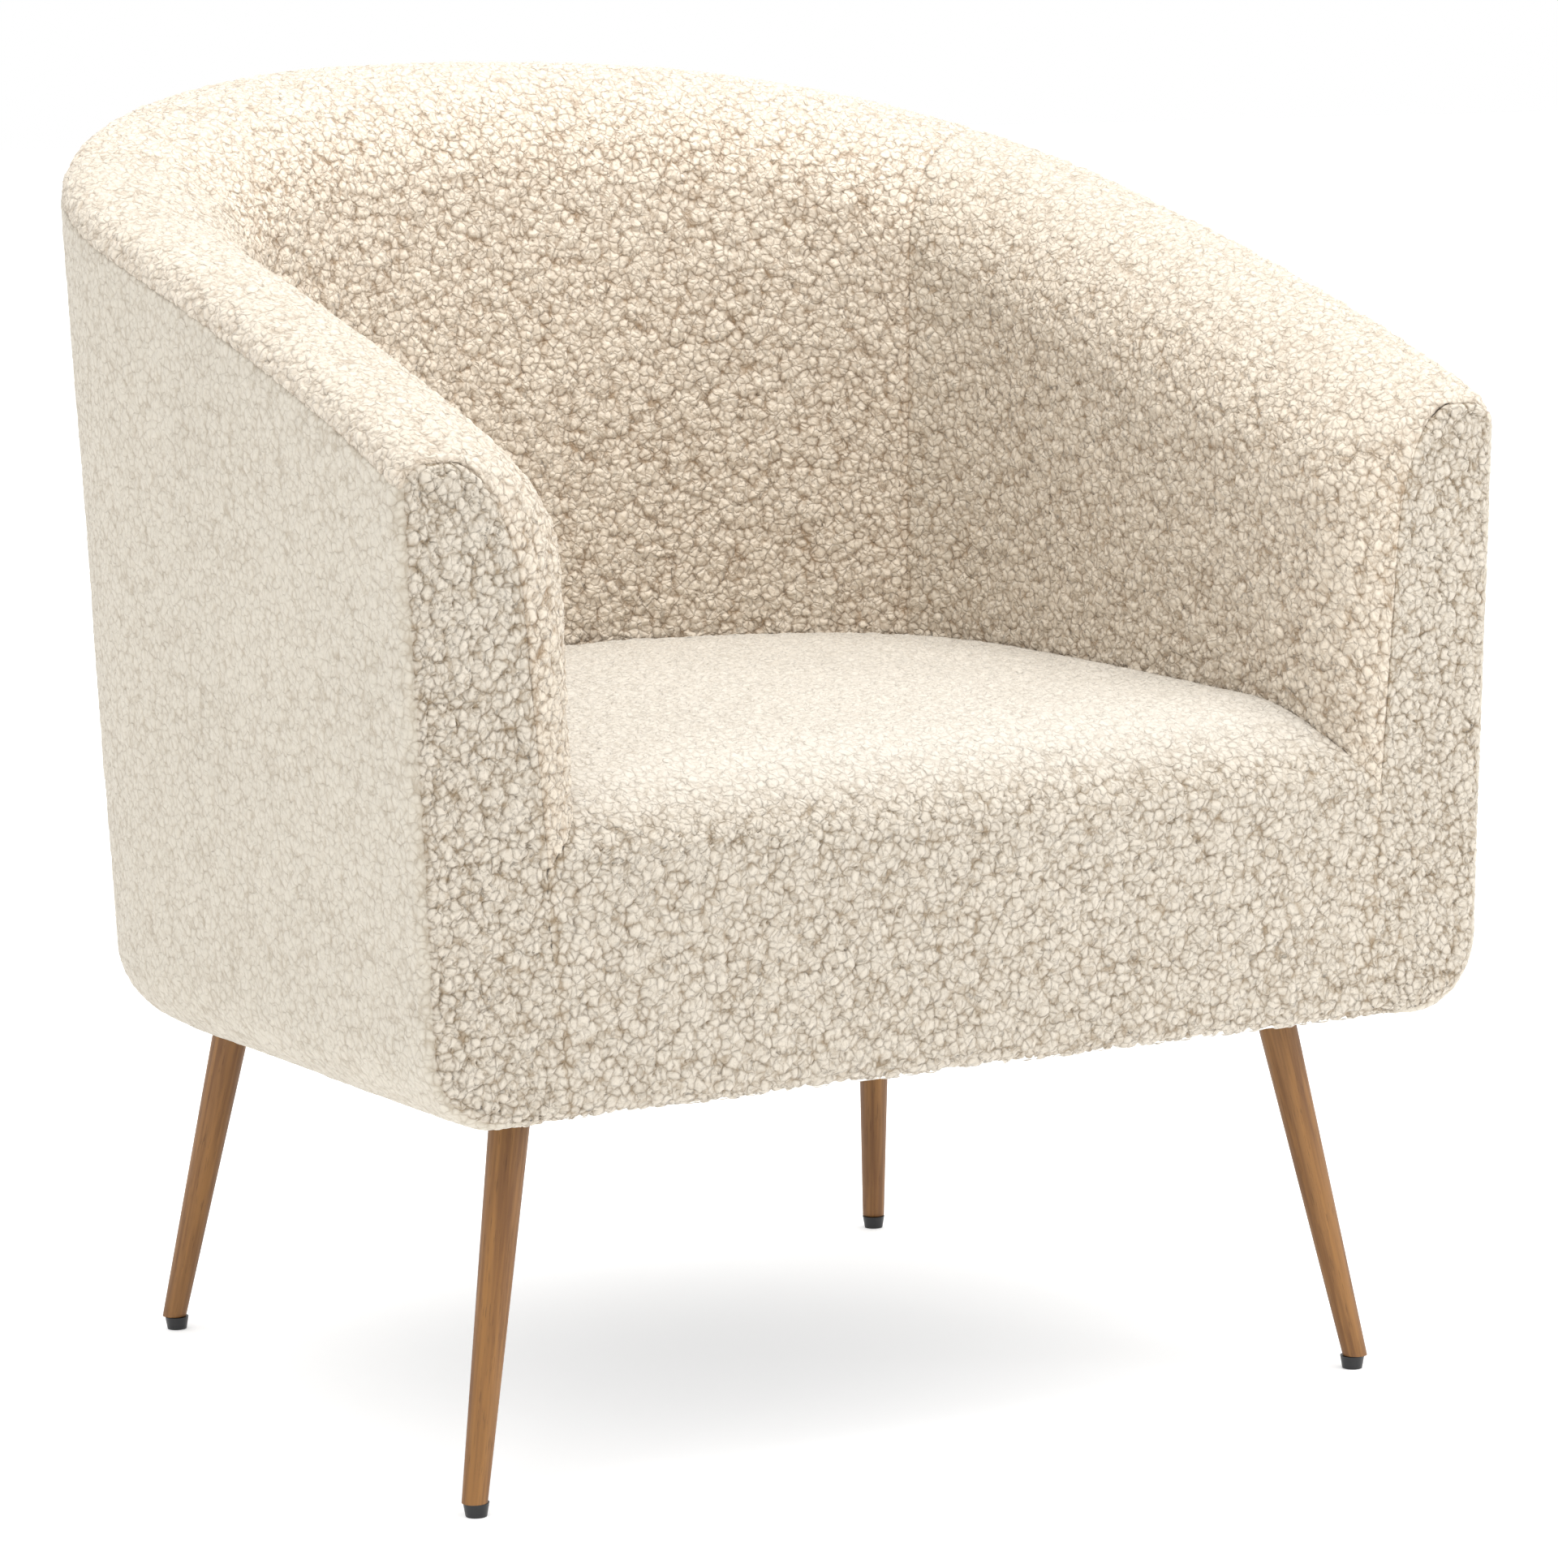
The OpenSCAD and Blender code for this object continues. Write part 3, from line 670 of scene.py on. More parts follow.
class Surface(Enum):
    """The kinds of grain that plain materials have.

    Each holds its stretch along X, its scale to the metre, its detail and the
    height of its relief in metres.
    """

    WEAVE = (1.0, 330.0, 0.0, 0.0003)
    FOAM = (1.0, 900.0, 2.0, 0.0004)
    BOARD = (0.08, 300.0, 4.0, 0.0003)
    METAL = (1.0, 1400.0, 2.0, 0.00005)
    MOULDED = (1.0, 2200.0, 2.0, 0.00006)


@dataclass(frozen=True)
class PlainFinish:
    """A finish of one colour with the grain of its kind."""

    name: str
    colour: Colour
    kind: Surface
    roughness: float = 0.6
    metallic: float = 0.0

    def make(self) -> bpy.types.Material:
        """Writes the material."""
        n = Nodes(self.name, self.roughness)
        spot = n.place()
        along, scale, detail, relief = self.kind.value
        if self.kind is Surface.WEAVE:
            across, down = (
                n.add(
                    "ShaderNodeTexWave",
                    {"bands_direction": way},
                    {"Vector": spot, "Scale": scale, "Distortion": 0.6},
                    "Fac",
                )
                for way in "XY"
            )
            grain = (across + down) * 0.5
        else:
            grain = n.noise(n.stretch(spot, (along, 1.0, 1.0)), scale, detail)
        cloud = n.noise(spot, 14.0, 2.0)
        return n.feed(
            Base_Color=n.shaded(self.colour, 0.82 + grain * 0.22 + cloud * 0.12),
            Metallic=self.metallic,
            Roughness=self.roughness + (grain - 0.5) * 0.12,
            Normal=n.bump(grain, 0.5, relief),
        )


# ---- panels ----


@contextmanager
def edit_mode() -> Iterator[None]:
    """Works on the active piece in edit mode, and leaves it afterwards."""
    bpy.ops.object.mode_set(mode="EDIT")
    yield
    bpy.ops.object.mode_set(mode="OBJECT")


def pick_vertices(piece: bpy.types.Object, chosen: Array) -> None:
    """Selects only some vertices of a piece, and the edges between them."""
    bpy.ops.object.select_all(action="DESELECT")
    piece.select_set(True)
    bpy.context.view_layer.objects.active = piece
    with edit_mode():
        bpy.ops.mesh.select_mode(type="VERT")
        bpy.ops.mesh.select_all(action="DESELECT")
    piece.data.vertices.foreach_set("select", chosen.astype(bool))
    with edit_mode():
        bpy.ops.mesh.select_mode(type="VERT")


def drop_uv(piece: bpy.types.Object) -> None:
    """Takes the unused texture coordinates off a piece."""
    for layer in list(piece.data.uv_layers):
        piece.data.uv_layers.remove(layer)


def from_ends(grid: Array, axis: int) -> Array:
    """How far each point lies from the nearer end of its row or column."""
    step = np.linalg.norm(np.diff(grid, axis=axis), axis=-1)
    run = np.concatenate(
        [np.zeros_like(np.take(step, [0], axis)), np.cumsum(step, axis)], axis
    )
    return np.minimum(run, np.take(run, [-1], axis) - run)


def from_edge(grid: Array) -> Array:
    """How far each point lies from the nearest edge of its grid."""
    return np.minimum(from_ends(grid, 0), from_ends(grid, 1))


def on_side(points: Array, side: int) -> Array:
    """Points of the right side, or their mirror image for the left one."""
    return points * (-1, 1, 1) if side < 0 else points


def far_from(points: Array, line: Array, weights: Array) -> tuple[Array, Array]:
    """How far each point is from a line.

    Args:
        points: the points.
        line: the line's own points.
        weights: a number for each of the line's points.

    Returns:
        The distances, and the weight of the nearest stretch of the line.
    """
    best = np.full(len(points), np.inf)
    held = np.ones(len(points))
    for k, (a, b) in enumerate(zip(line[:-1], line[1:])):
        run = b - a
        t = np.clip(((points - a) @ run) / max(run @ run, 1e-14), 0, 1)
        gap = ((points - a - t[:, None] * run) ** 2).sum(-1)
        nearer = gap < best
        best = np.where(nearer, gap, best)
        held = np.where(nearer, weights[k] * (1 - t) + weights[k + 1] * t, held)
    return np.sqrt(best), held


@dataclass
class Panel:
    """A closed panel that is lofted through closed sections.

    The first rows of each section are its outer side, which takes the pile,
    and the rest are its back. Edge is how far each outer point lies from the
    panel's own edge. A share from 0 to 1 sets how flat its pile lies and how
    far its colour moves toward a painted top light.
    """

    name: str
    outer: Array
    back: Array
    pile: Pile
    edge: Array
    groove: float = 0.0022
    soft: float = 0.0055
    # Share of flat pile and of painted top light, from 0 to 1.
    calm: float | Array = 0.0
    edge_pile: float = 0.30
    pile_ramp: float = 0.008
    calm_pile: float = 0.35

    def normals(self) -> Array:
        """Unit normals of the outer side, which point away from the back."""
        du = np.gradient(self.outer, axis=0)
        dv = np.gradient(self.outer, axis=1)
        normal = np.cross(du, dv)
        normal /= np.maximum(np.linalg.norm(normal, axis=-1, keepdims=True), 1e-12)
        mid = self.outer.shape[1] // 2
        toward = self.back.mean(axis=1) - self.outer[:, mid]
        facing = (normal[:, mid] * toward).sum(-1)
        return -normal if np.median(facing) > 0 else normal

    def relieved(self) -> tuple[Array, Array, Array]:
        """The outer side with its edges turned in and its pile raised.

        Returns:
            The points, the painted shade at each, darker where the pile is less open to
            the light and near the seams, and the tone at each.
        """
        flat = self.outer.reshape(-1, 3)
        depth, open_to, tone = self.pile.relief(flat)
        shape = self.outer.shape[:2]
        depth, open_to = depth.reshape(shape), open_to.reshape(shape)
        close = np.clip(1 - self.edge / self.soft, 0, 1) ** 2
        keep = np.clip(self.edge_pile + self.edge / self.pile_ramp, 0, 1)
        depth = depth * (keep * (1 - self.calm_pile * self.calm))
        out = self.outer + self.normals() * (depth - self.groove * close)[..., None]
        # Painted shade: darker near the panel's edges, in the seams' valleys.
        shade = open_to * (1 - 0.45 * close) - 0.10 * close
        return out, shade, tone.reshape(shape)

    def build(self) -> bpy.types.Object:
        """Makes the panel from a grid whose two sides are joined.

        Returns:
            The panel's object, with its painted shade, its tone, and its share of flat
            pile and painted top light on its vertices.
        """
        out, shade, tone = self.relieved()
        rest = np.zeros(self.back.shape[:2])
        points, shade, tone, calm = (
            np.concatenate([front, behind, front[:, :1]], axis=1)
            for front, behind in (
                (out, self.back), (shade, rest), (tone, rest + 0.5),
                (np.zeros(shade.shape) + self.calm, rest),
            )
        )
        nu, nv = points.shape[:2]
        bpy.ops.object.select_all(action="DESELECT")
        bpy.ops.mesh.primitive_grid_add(
            x_subdivisions=nu - 1, y_subdivisions=nv - 1, size=1.0
        )
        piece = bpy.context.object
        piece.name = piece.data.name = self.name
        mesh = piece.data
        flat = np.empty(len(mesh.vertices) * 3)
        mesh.vertices.foreach_get("co", flat)
        spot = flat.reshape(-1, 3)
        i = np.rint((spot[:, 0] + 0.5) * (nu - 1)).astype(int)
        j = np.rint((spot[:, 1] + 0.5) * (nv - 1)).astype(int)
        mesh.vertices.foreach_set("co", points[i, j].ravel())
        # The "pile" attribute carries the painted shade.
        for name, values in (("pile", shade), ("tone", tone), ("calm", calm)):
            layer = mesh.attributes.new(name, "FLOAT", "POINT")
            layer.data.foreach_set("value", values[i, j].astype(np.float32))
        ends = np.where(i == 0, 1, 0) + np.where(i == nu - 1, 2, 0)
        self.close(piece, (j == 0) | (j == nv - 1), ends)
        self.face_outward(piece)
        drop_uv(piece)
        bpy.ops.object.shade_smooth()
        return piece

    def close(self, piece: bpy.types.Object, seam: Array, ends: Array) -> None:
        """Joins the loft's two long sides and caps its ends.

        Args:
            piece: the loft.
            seam: which of its vertices lie on the long sides.
            ends: 1 or 2 for the vertices at either end, 0 for the rest.
        """
        mesh = piece.data
        mark = mesh.attributes.new("end", "INT", "POINT")
        mark.data.foreach_set("value", ends.astype(np.int32))
        pick_vertices(piece, seam)
        with edit_mode():
            bpy.ops.mesh.remove_doubles(threshold=1e-7)
        for k in (1, 2):
            held = np.empty(len(mesh.vertices), np.int32)
            mesh.attributes["end"].data.foreach_get("value", held)
            pick_vertices(piece, held == k)
            with edit_mode():
                bpy.ops.mesh.edge_face_add()
                bpy.ops.mesh.quads_convert_to_tris()
        mesh.attributes.remove(mesh.attributes["end"])

    def face_outward(self, piece: bpy.types.Object) -> None:
        """Turns the faces over if they point into the panel."""
        polygons = piece.data.polygons
        normals, centres = np.empty((2, len(polygons) * 3))
        areas = np.empty(len(polygons))
        for key, held in (("normal", normals), ("center", centres), ("area", areas)):
            polygons.foreach_get(key, held)
        if (normals * centres).reshape(-1, 3).sum(-1) @ areas < 0:
            pick_vertices(piece, np.ones(len(piece.data.vertices), bool))
            with edit_mode():
                bpy.ops.mesh.flip_normals()


def finish_piece(
    piece: bpy.types.Object,
    material: bpy.types.Material,
    nodes: Sequence[str],
) -> None:
    """Dresses a piece, says what it rides on, and hides the CAD nodes that it stands
    for.

    Args:
        piece: the new piece.
        material: its finish.
        nodes: the CAD nodes that it replaces.
    """
    piece.data.materials.clear()
    piece.data.materials.append(material)
    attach(piece, "root")
    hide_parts(*nodes)
    log.info("%s: %d faces", piece.name, len(piece.data.polygons))


@dataclass
class OutsideWrap:
    """The cover round the outside, from one arm's front to the other's."""

    columns: int = 900
    rows: int = 232
    back_rows: int = 14
    under: float = 0.018
    lap: float = 0.0006

    def sections(self, s: Array, depth: float) -> tuple[Array, Array]:
        """Insets and heights of the wrap's sections at a depth in the cloth."""
        f = SHELL
        angle = np.linspace(np.pi / 2, 0, 14)
        radius = f.lower_edge - depth
        low = f.underside + f.lower_edge - radius * np.sin(angle)
        z = np.repeat(low[None], len(s), 0)
        inset = f.outer(s, z) + f.lower_edge - radius * np.cos(angle)
        start = inset[:, :1] + self.under
        top = (f.rim(s) - f.seam_drop + self.lap)[:, None]
        t = np.linspace(0, 1, 24)[None, 1:]
        wall_z = z[:, -1:] + (top - z[:, -1:]) * t
        wall = f.outer(s, wall_z) + depth
        return (
            np.concatenate([start, inset, wall], 1),
            np.concatenate([z[:, :1], z, wall_z], 1),
        )

    def build(self, cloth: bpy.types.Material) -> None:
        """Makes the wrap."""
        f = SHELL
        end = f.station(f.front + f.mitre).item()
        s = f.even_stations(-end, end, self.columns, 0.02)
        y = f.rim_xy(s)[1]
        near = (rounding(y - f.front, f.corner) * (np.abs(s) > f.turn_share))[:, None]
        outer, back = (
            f.at(s, inset, hung(z))
            for inset, z in (
                pulled_in(*even_path(*self.sections(s, depth), count), near)
                for depth, count in ((0.0, self.rows), (f.cloth, self.back_rows))
            )
        )
        panel = Panel(
            "outside_wrap", outer, back[:, ::-1], COMBED, from_edge(outer), calm=0.25
        )
        finish_piece(panel.build(), cloth, ["outside_cover"])


@dataclass
class Sweep:
    """Where a cover's sections stand along the rim.

    It holds their stations, how far each is past the front roll from 0 to 1,
    and the height of each one's lower end.
    """

    s: Array
    turned: Array
    foot: Array


@dataclass
class InsideCover:
    """A cover over the rim and down the inner face."""

    name: str
    node: str
    side: int
    columns: int
    rows: int
    roll_columns: int = 40
    back_rows: int = 22
    lap: float = 0.0004
    foot: float = 0.384
    front_foot: float = 0.333
    below_nose: float = 0.022
    rim_pressed_and_lit: float = 0.045

    def path(self, at: Sweep, depth: float) -> tuple[Array, Array]:
        """Insets and heights of the sections over the rim, at a depth."""
        f, s, turned, foot = SHELL, at.s, at.turned, at.foot
        top = f.rim(s)[:, None]
        start, ridge = f.outer(s, top - f.seam_drop), f.ridge(s)
        bend = f.seam_drop - depth
        a = np.linspace(-0.03, np.pi / 2, 12)[None]
        arc_i = start + f.seam_drop - bend * np.cos(a)
        arc_z = top - f.seam_drop + bend * np.sin(a)
        b = np.linspace(np.pi / 2, 0, 40)[None]
        roll_z = top - f.top_roll + (f.top_roll - depth) * np.sin(b)
        reach = f.inside(s, roll_z, turned) - depth * turned[:, None]
        roll_i = ridge + (reach - ridge) * np.cos(b)
        t = np.linspace(0, 1, 16)[None, 1:]
        z = (top - f.top_roll) + (foot[:, None] - top + f.top_roll) * t
        wall = f.inside(s, z, turned) - depth * turned[:, None]
        return (
            np.concatenate([arc_i, roll_i, wall], 1),
            np.concatenate([arc_z, roll_z, z], 1),
        )

    def placed(self, at: Sweep, depth: float, count: int) -> Array:
        """The cover's points, with its front end rounded.

        Args:
            at: where its sections stand.
            depth: depth in the cloth.
            count: points in each section.

        Returns:
            One row of points for each section.
        """
        f, s, turned = SHELL, at.s, at.turned
        inset, z = even_path(*self.path(at, depth), count)
        up = f.roll_share(z, f.rim(s)[:, None])
        weight = np.where(inset < f.ridge(s), 1.0, up**2)
        front = np.sqrt(1 - turned**2)[:, None]
        shift = f.mitre * front * weight
        y = f.rim_xy(s)[1][:, None] + shift
        near = rounding(y - f.front, f.corner) * weight * (s > 0.7)[:, None]
        inset, z = pulled_in(inset, z, near if self.side else 0 * near)
        points = f.at(s, inset, z)
        if self.side:
            points[..., 1] += shift + (0.8 * depth) * front**3
        return points

    def build(self, cloth: bpy.types.Material) -> None:
        """Makes the cover."""
        f = SHELL
        if self.side == 0:
            limit = f.back_seam + self.lap
            s = f.even_stations(-limit, limit, self.columns, 0.06)
            at = Sweep(s, np.ones(len(s)), np.full(len(s), self.foot))
        else:
            turn = f.station(f.front + f.front_roll).item()
            plain = f.even_stations(f.back_seam - self.lap, turn, self.columns, 0.09)
            plain = plain[:-1]
            angle = np.linspace(0, np.pi / 2, self.roll_columns)
            y = f.front + f.front_roll * (1 - np.sin(angle))
            s = np.concatenate([plain, f.station(y)])
            nose = SeatCover().nose_height(f.rim_xy(s)[1])
            foot = np.clip(nose - self.below_nose, self.front_foot, self.foot)
            at = Sweep(s, np.concatenate([np.ones(len(plain)), np.cos(angle)]), foot)
        outer = on_side(self.placed(at, 0.0, self.rows), self.side)
        back = on_side(self.placed(at, f.cloth, self.back_rows), self.side)
        # Painted top light: near the rim's top the pile lies flatter and its colour
        # moves toward the cloth's lit colour.
        below = f.rim(s)[:, None] - outer[..., 2]
        calm = 0.05 + 0.45 * np.clip(1 - below / self.rim_pressed_and_lit, 0, 1)
        edge = from_edge(outer)
        piece = Panel(self.name, outer, back[:, ::-1], CURLY, edge, calm=calm).build()
        finish_piece(piece, cloth, [self.node])


@dataclass
class ArmFront:
    """The padded panel on the front of an arm."""

    name: str
    node: str
    side: int
    columns: int = 76
    rows: int = 300
    under: float = 0.045
    under_rows: int = 23
    bend_rows: int = 10

    def outline(self) -> tuple[Array, Array, Array]:
        """The panel's rows from the underside to the top.

        Returns:
            The height of each row, and the insets of its outer and inner end.
        """
        f = SHELL
        one = np.array([1.0])
        low = np.linspace(np.pi / 2, 0, 30)[None]
        low_z = f.underside + f.lower_edge * (1 - np.sin(low))
        low_i = f.outer(one, low_z) + f.lower_edge * (1 - np.cos(low))
        top = f.rim(one)[:, None]
        t = np.linspace(0, 1, 30)[None, 1:]
        side_z = low_z[:, -1:] + (top - f.seam_drop - low_z[:, -1:]) * t
        side_i = f.outer(one, side_z)
        a = np.linspace(0, np.pi / 2, 30)[None, 1:]
        start = f.outer(one, top - f.seam_drop)
        arc_i = start + f.seam_drop * (1 - np.cos(a))
        arc_z = top - f.seam_drop * (1 - np.sin(a))
        inset, z = even_path(
            np.concatenate([low_i, side_i, arc_i], 1),
            np.concatenate([low_z, side_z, arc_z], 1),
            self.rows,
        )
        inset, z = inset[0], z[0]
        ridge = f.ridge(one).item()
        up = f.roll_share(z, top.item())
        inner = ridge + (f.face(z) - ridge) * np.sqrt(1 - up**2)
        return z, inset, inner

    def build(self, cloth: bpy.types.Material) -> None:
        """Makes the panel."""
        f = SHELL
        z, left, right = self.outline()
        top = z[-1]
        up = f.roll_share(z, top) ** 2
        left, left_z = pulled_in(left, z, f.mitre)
        right, right_z = (
            line[::-1] for line in pulled_in(right[::-1], z[::-1], f.mitre * up[::-1])
        )
        right_z = right_z + f.mitre * np.clip(1 - (z - f.underside) / 0.03, 0, 1)
        t = np.linspace(0, 1, self.columns)[:, None]
        inset = left + (right - left) * t
        height = left_z + (right_z - left_z) * t
        flat = np.stack([inset, height], -1).reshape(-1, 2)
        rim = np.concatenate(
            [np.stack([left, left_z], 1), np.stack([right, right_z], 1)[::-1]]
        )
        soft = np.concatenate([np.ones(len(z)), up[::-1]])
        far, weight = (k.reshape(inset.shape) for k in far_from(flat, rim, soft))
        low = height - (f.underside + f.mitre)
        y = f.front + np.maximum(
            weight * rounding(far + f.mitre, f.corner),
            rounding(np.maximum(low, 0) + f.mitre, f.corner),
        )
        outer = np.stack([f.half_width - inset, y, hung(height)], -1).transpose(1, 0, 2)
        bend = np.linspace(np.pi / 2, np.pi / 4, self.bend_rows + 1)[:-1]
        run = np.linspace(self.under, f.corner, self.under_rows + 1)[:-1]
        under = np.repeat(outer[:1], len(run) + len(bend), 0)
        under_y = f.front + np.concatenate([run, f.corner * (1 - np.cos(bend))])
        rise = np.concatenate([0 * run, f.corner * (1 - np.sin(bend))])
        under[..., 1] = under_y[:, None]
        under[..., 2] = hung(f.underside + rise)[:, None]
        edge = np.concatenate([from_ends(under, 1), far.T])
        outer = np.concatenate([under, outer])
        share = 0.05 + 0.9 * np.linspace(0, 1, 6)[None, :, None]
        back = outer[:, :1] + (outer[:, -1:] - outer[:, :1]) * share
        middle = outer[:, self.columns // 2, 1]
        back[:, :, 1] = np.maximum(middle, f.front)[:, None] + f.cloth
        back[: len(under), :, 2] += f.cloth
        back[len(under) :, :, 2] = np.clip(
            back[len(under) :, :, 2], f.underside + f.cloth - f.hang, top - 0.012
        )
        outer, back = on_side(outer, self.side), on_side(back[:, ::-1], self.side)
        piece = Panel(self.name, outer, back, CURLY, edge).build()
        finish_piece(piece, cloth, [self.node])


@dataclass
class SeatCover:
    """The one cover over the seat's top, its rolled front edge and its front."""

    seat_height: float = 0.409
    seat_dip: float = 0.005
    nose_depth: float = 0.100
    nose_drop: float = 0.048
    crown: float = 0.004
    columns: int = 320
    rows: int = 430
    overlap: float = 0.0030
    back_end: float = 0.1865
    face_top: float = 0.336

    @property
    def nose_top(self) -> float:
        """Height where the front roll meets the seat's top."""
        return self.seat_height - self.seat_dip

    def nose_height(self, y: Array) -> Array:
        """Height of the seat's surface at some y."""
        f = SHELL
        t = np.clip((f.front + self.nose_depth - y) / self.nose_depth, 0, 1)
        return self.nose_top - self.nose_drop + self.nose_drop * np.sqrt(1 - t**2)

    def half(self, y: Array, z: Array) -> Array:
        """Half of the seat's width between the arms and the curved back."""
        f = SHELL
        s = np.concatenate([np.linspace(0.004, 0.6, 900), np.linspace(0.6, 1, 200)[1:]])
        deck = np.full((len(s), 1), self.face_top)
        wall = f.at(s, f.inner(s, deck) - self.overlap, deck)[:, 0]
        order = np.argsort(wall[:, 1])
        far = np.interp(y, wall[order, 1], wall[order, 0])
        turned = np.cos(
            np.arcsin(np.clip(1 - (y - f.front) / f.front_roll, 0, 1))
        ) * np.clip((z - 0.29) / 0.03, 0, 1)
        face = f.face(np.where(z < self.face_top + 0.001, z, self.face_top))
        inner = f.inner(np.ones(1), np.maximum(z, self.face_top)[None])[0]
        front = f.half_width - (face + (inner - face) * turned) + self.overlap
        return np.where(y <= f.front + f.front_roll, front, far)

    def profile(self, depth: float, count: int) -> tuple[Array, Array]:
        """The seat's line from under its front edge to the inside back.

        Args:
            depth: depth in the cloth.
            count: how many points it gets.

        Returns:
            The y and z of the points.
        """
        f = SHELL
        r = f.corner
        front, low = f.front, f.underside
        a = np.linspace(np.pi / 2, 0, 12)
        under_y = front + r - (r - depth) * np.cos(a)
        under_z = low + r - (r - depth) * np.sin(a)
        nose = self.nose_top - self.nose_drop
        b = np.linspace(0, np.pi / 2, 60)
        nose_y = front + self.nose_depth - (self.nose_depth - depth) * np.cos(b)
        nose_z = nose + (self.nose_drop - depth) * np.sin(b)
        t = np.linspace(0, 1, 80)[1:]
        top_y = front + self.nose_depth
        top_y = top_y + (self.back_end - front - self.nose_depth) * t
        dip = np.sin(np.pi / 2 * np.minimum(1, 1.6 * t))
        top_z = self.nose_top + self.seat_dip * dip - depth
        wall_z = np.linspace(low + r, nose, 20)[1:-1]
        y = np.concatenate(
            [[front + 0.045], under_y, np.full(18, front + depth), nose_y, top_y]
        )
        z = np.concatenate([[low + depth], under_z, wall_z, nose_z, top_z])
        py, pz = even_path(y[None], z[None], count)
        return py[0], pz[0]

    def surface(self, depth: float, rows: int, columns: int) -> Array:
        """Points of the seat's surface at a depth in the cloth."""
        y, z = self.profile(depth, rows)
        t = np.linspace(-1, 1, columns)[None]
        x = self.half(y, z)[:, None] * t
        y, z = y[:, None] + 0 * t, z[:, None] + 0 * t
        level = np.clip((z - 0.37) / 0.03, 0, 1)
        fade = np.clip((self.back_end - y) / 0.08, 0, 1)
        return np.stack([x, y, z + self.crown * level * (1 - t**2) * fade], -1)

    def build(self, cloth: bpy.types.Material) -> None:
        """Makes the seat's cover."""
        f = SHELL
        outer = self.surface(0.0, self.rows, self.columns)
        back = self.surface(f.cloth, self.rows, 18)[:, ::-1]
        outer[..., 2], back[..., 2] = hung(outer[..., 2]), hung(back[..., 2])
        wall = self.wall_distance(outer[..., :2].reshape(-1, 2))
        wall = wall.reshape(outer.shape[:2]) + 10 * (outer[..., 2] < 0.35)
        across = np.minimum(from_ends(outer, 1), wall) - self.overlap
        edge = np.minimum(np.maximum(across, 0), from_ends(outer, 0))
        # Painted top light on the seat's top: flatter pile, and colour moved toward the
        # lit colour.
        calm = 0.05 + 0.75 * np.clip((outer[..., 2] - 0.372) / 0.026, 0, 1)
        made = Panel("seat_cloth", outer, back, CURLY, edge, 0.0016, 0.0060, calm)
        piece = made.build()
        finish_piece(piece, cloth, ["seat_cover"])

    def wall_distance(self, points: Array) -> Array:
        """Distance in plan from the inner faces of the arms and back."""
        y = np.concatenate(
            [np.linspace(-0.27, 0.12, 60), np.linspace(0.122, 0.1868, 70)]
        )
        side = np.stack([self.half(y, np.full(len(y), 0.4)), y], 1)
        near = np.stack([np.abs(points[:, 0]), points[:, 1]], 1)
        return far_from(near, side, np.ones(len(side)))[0]


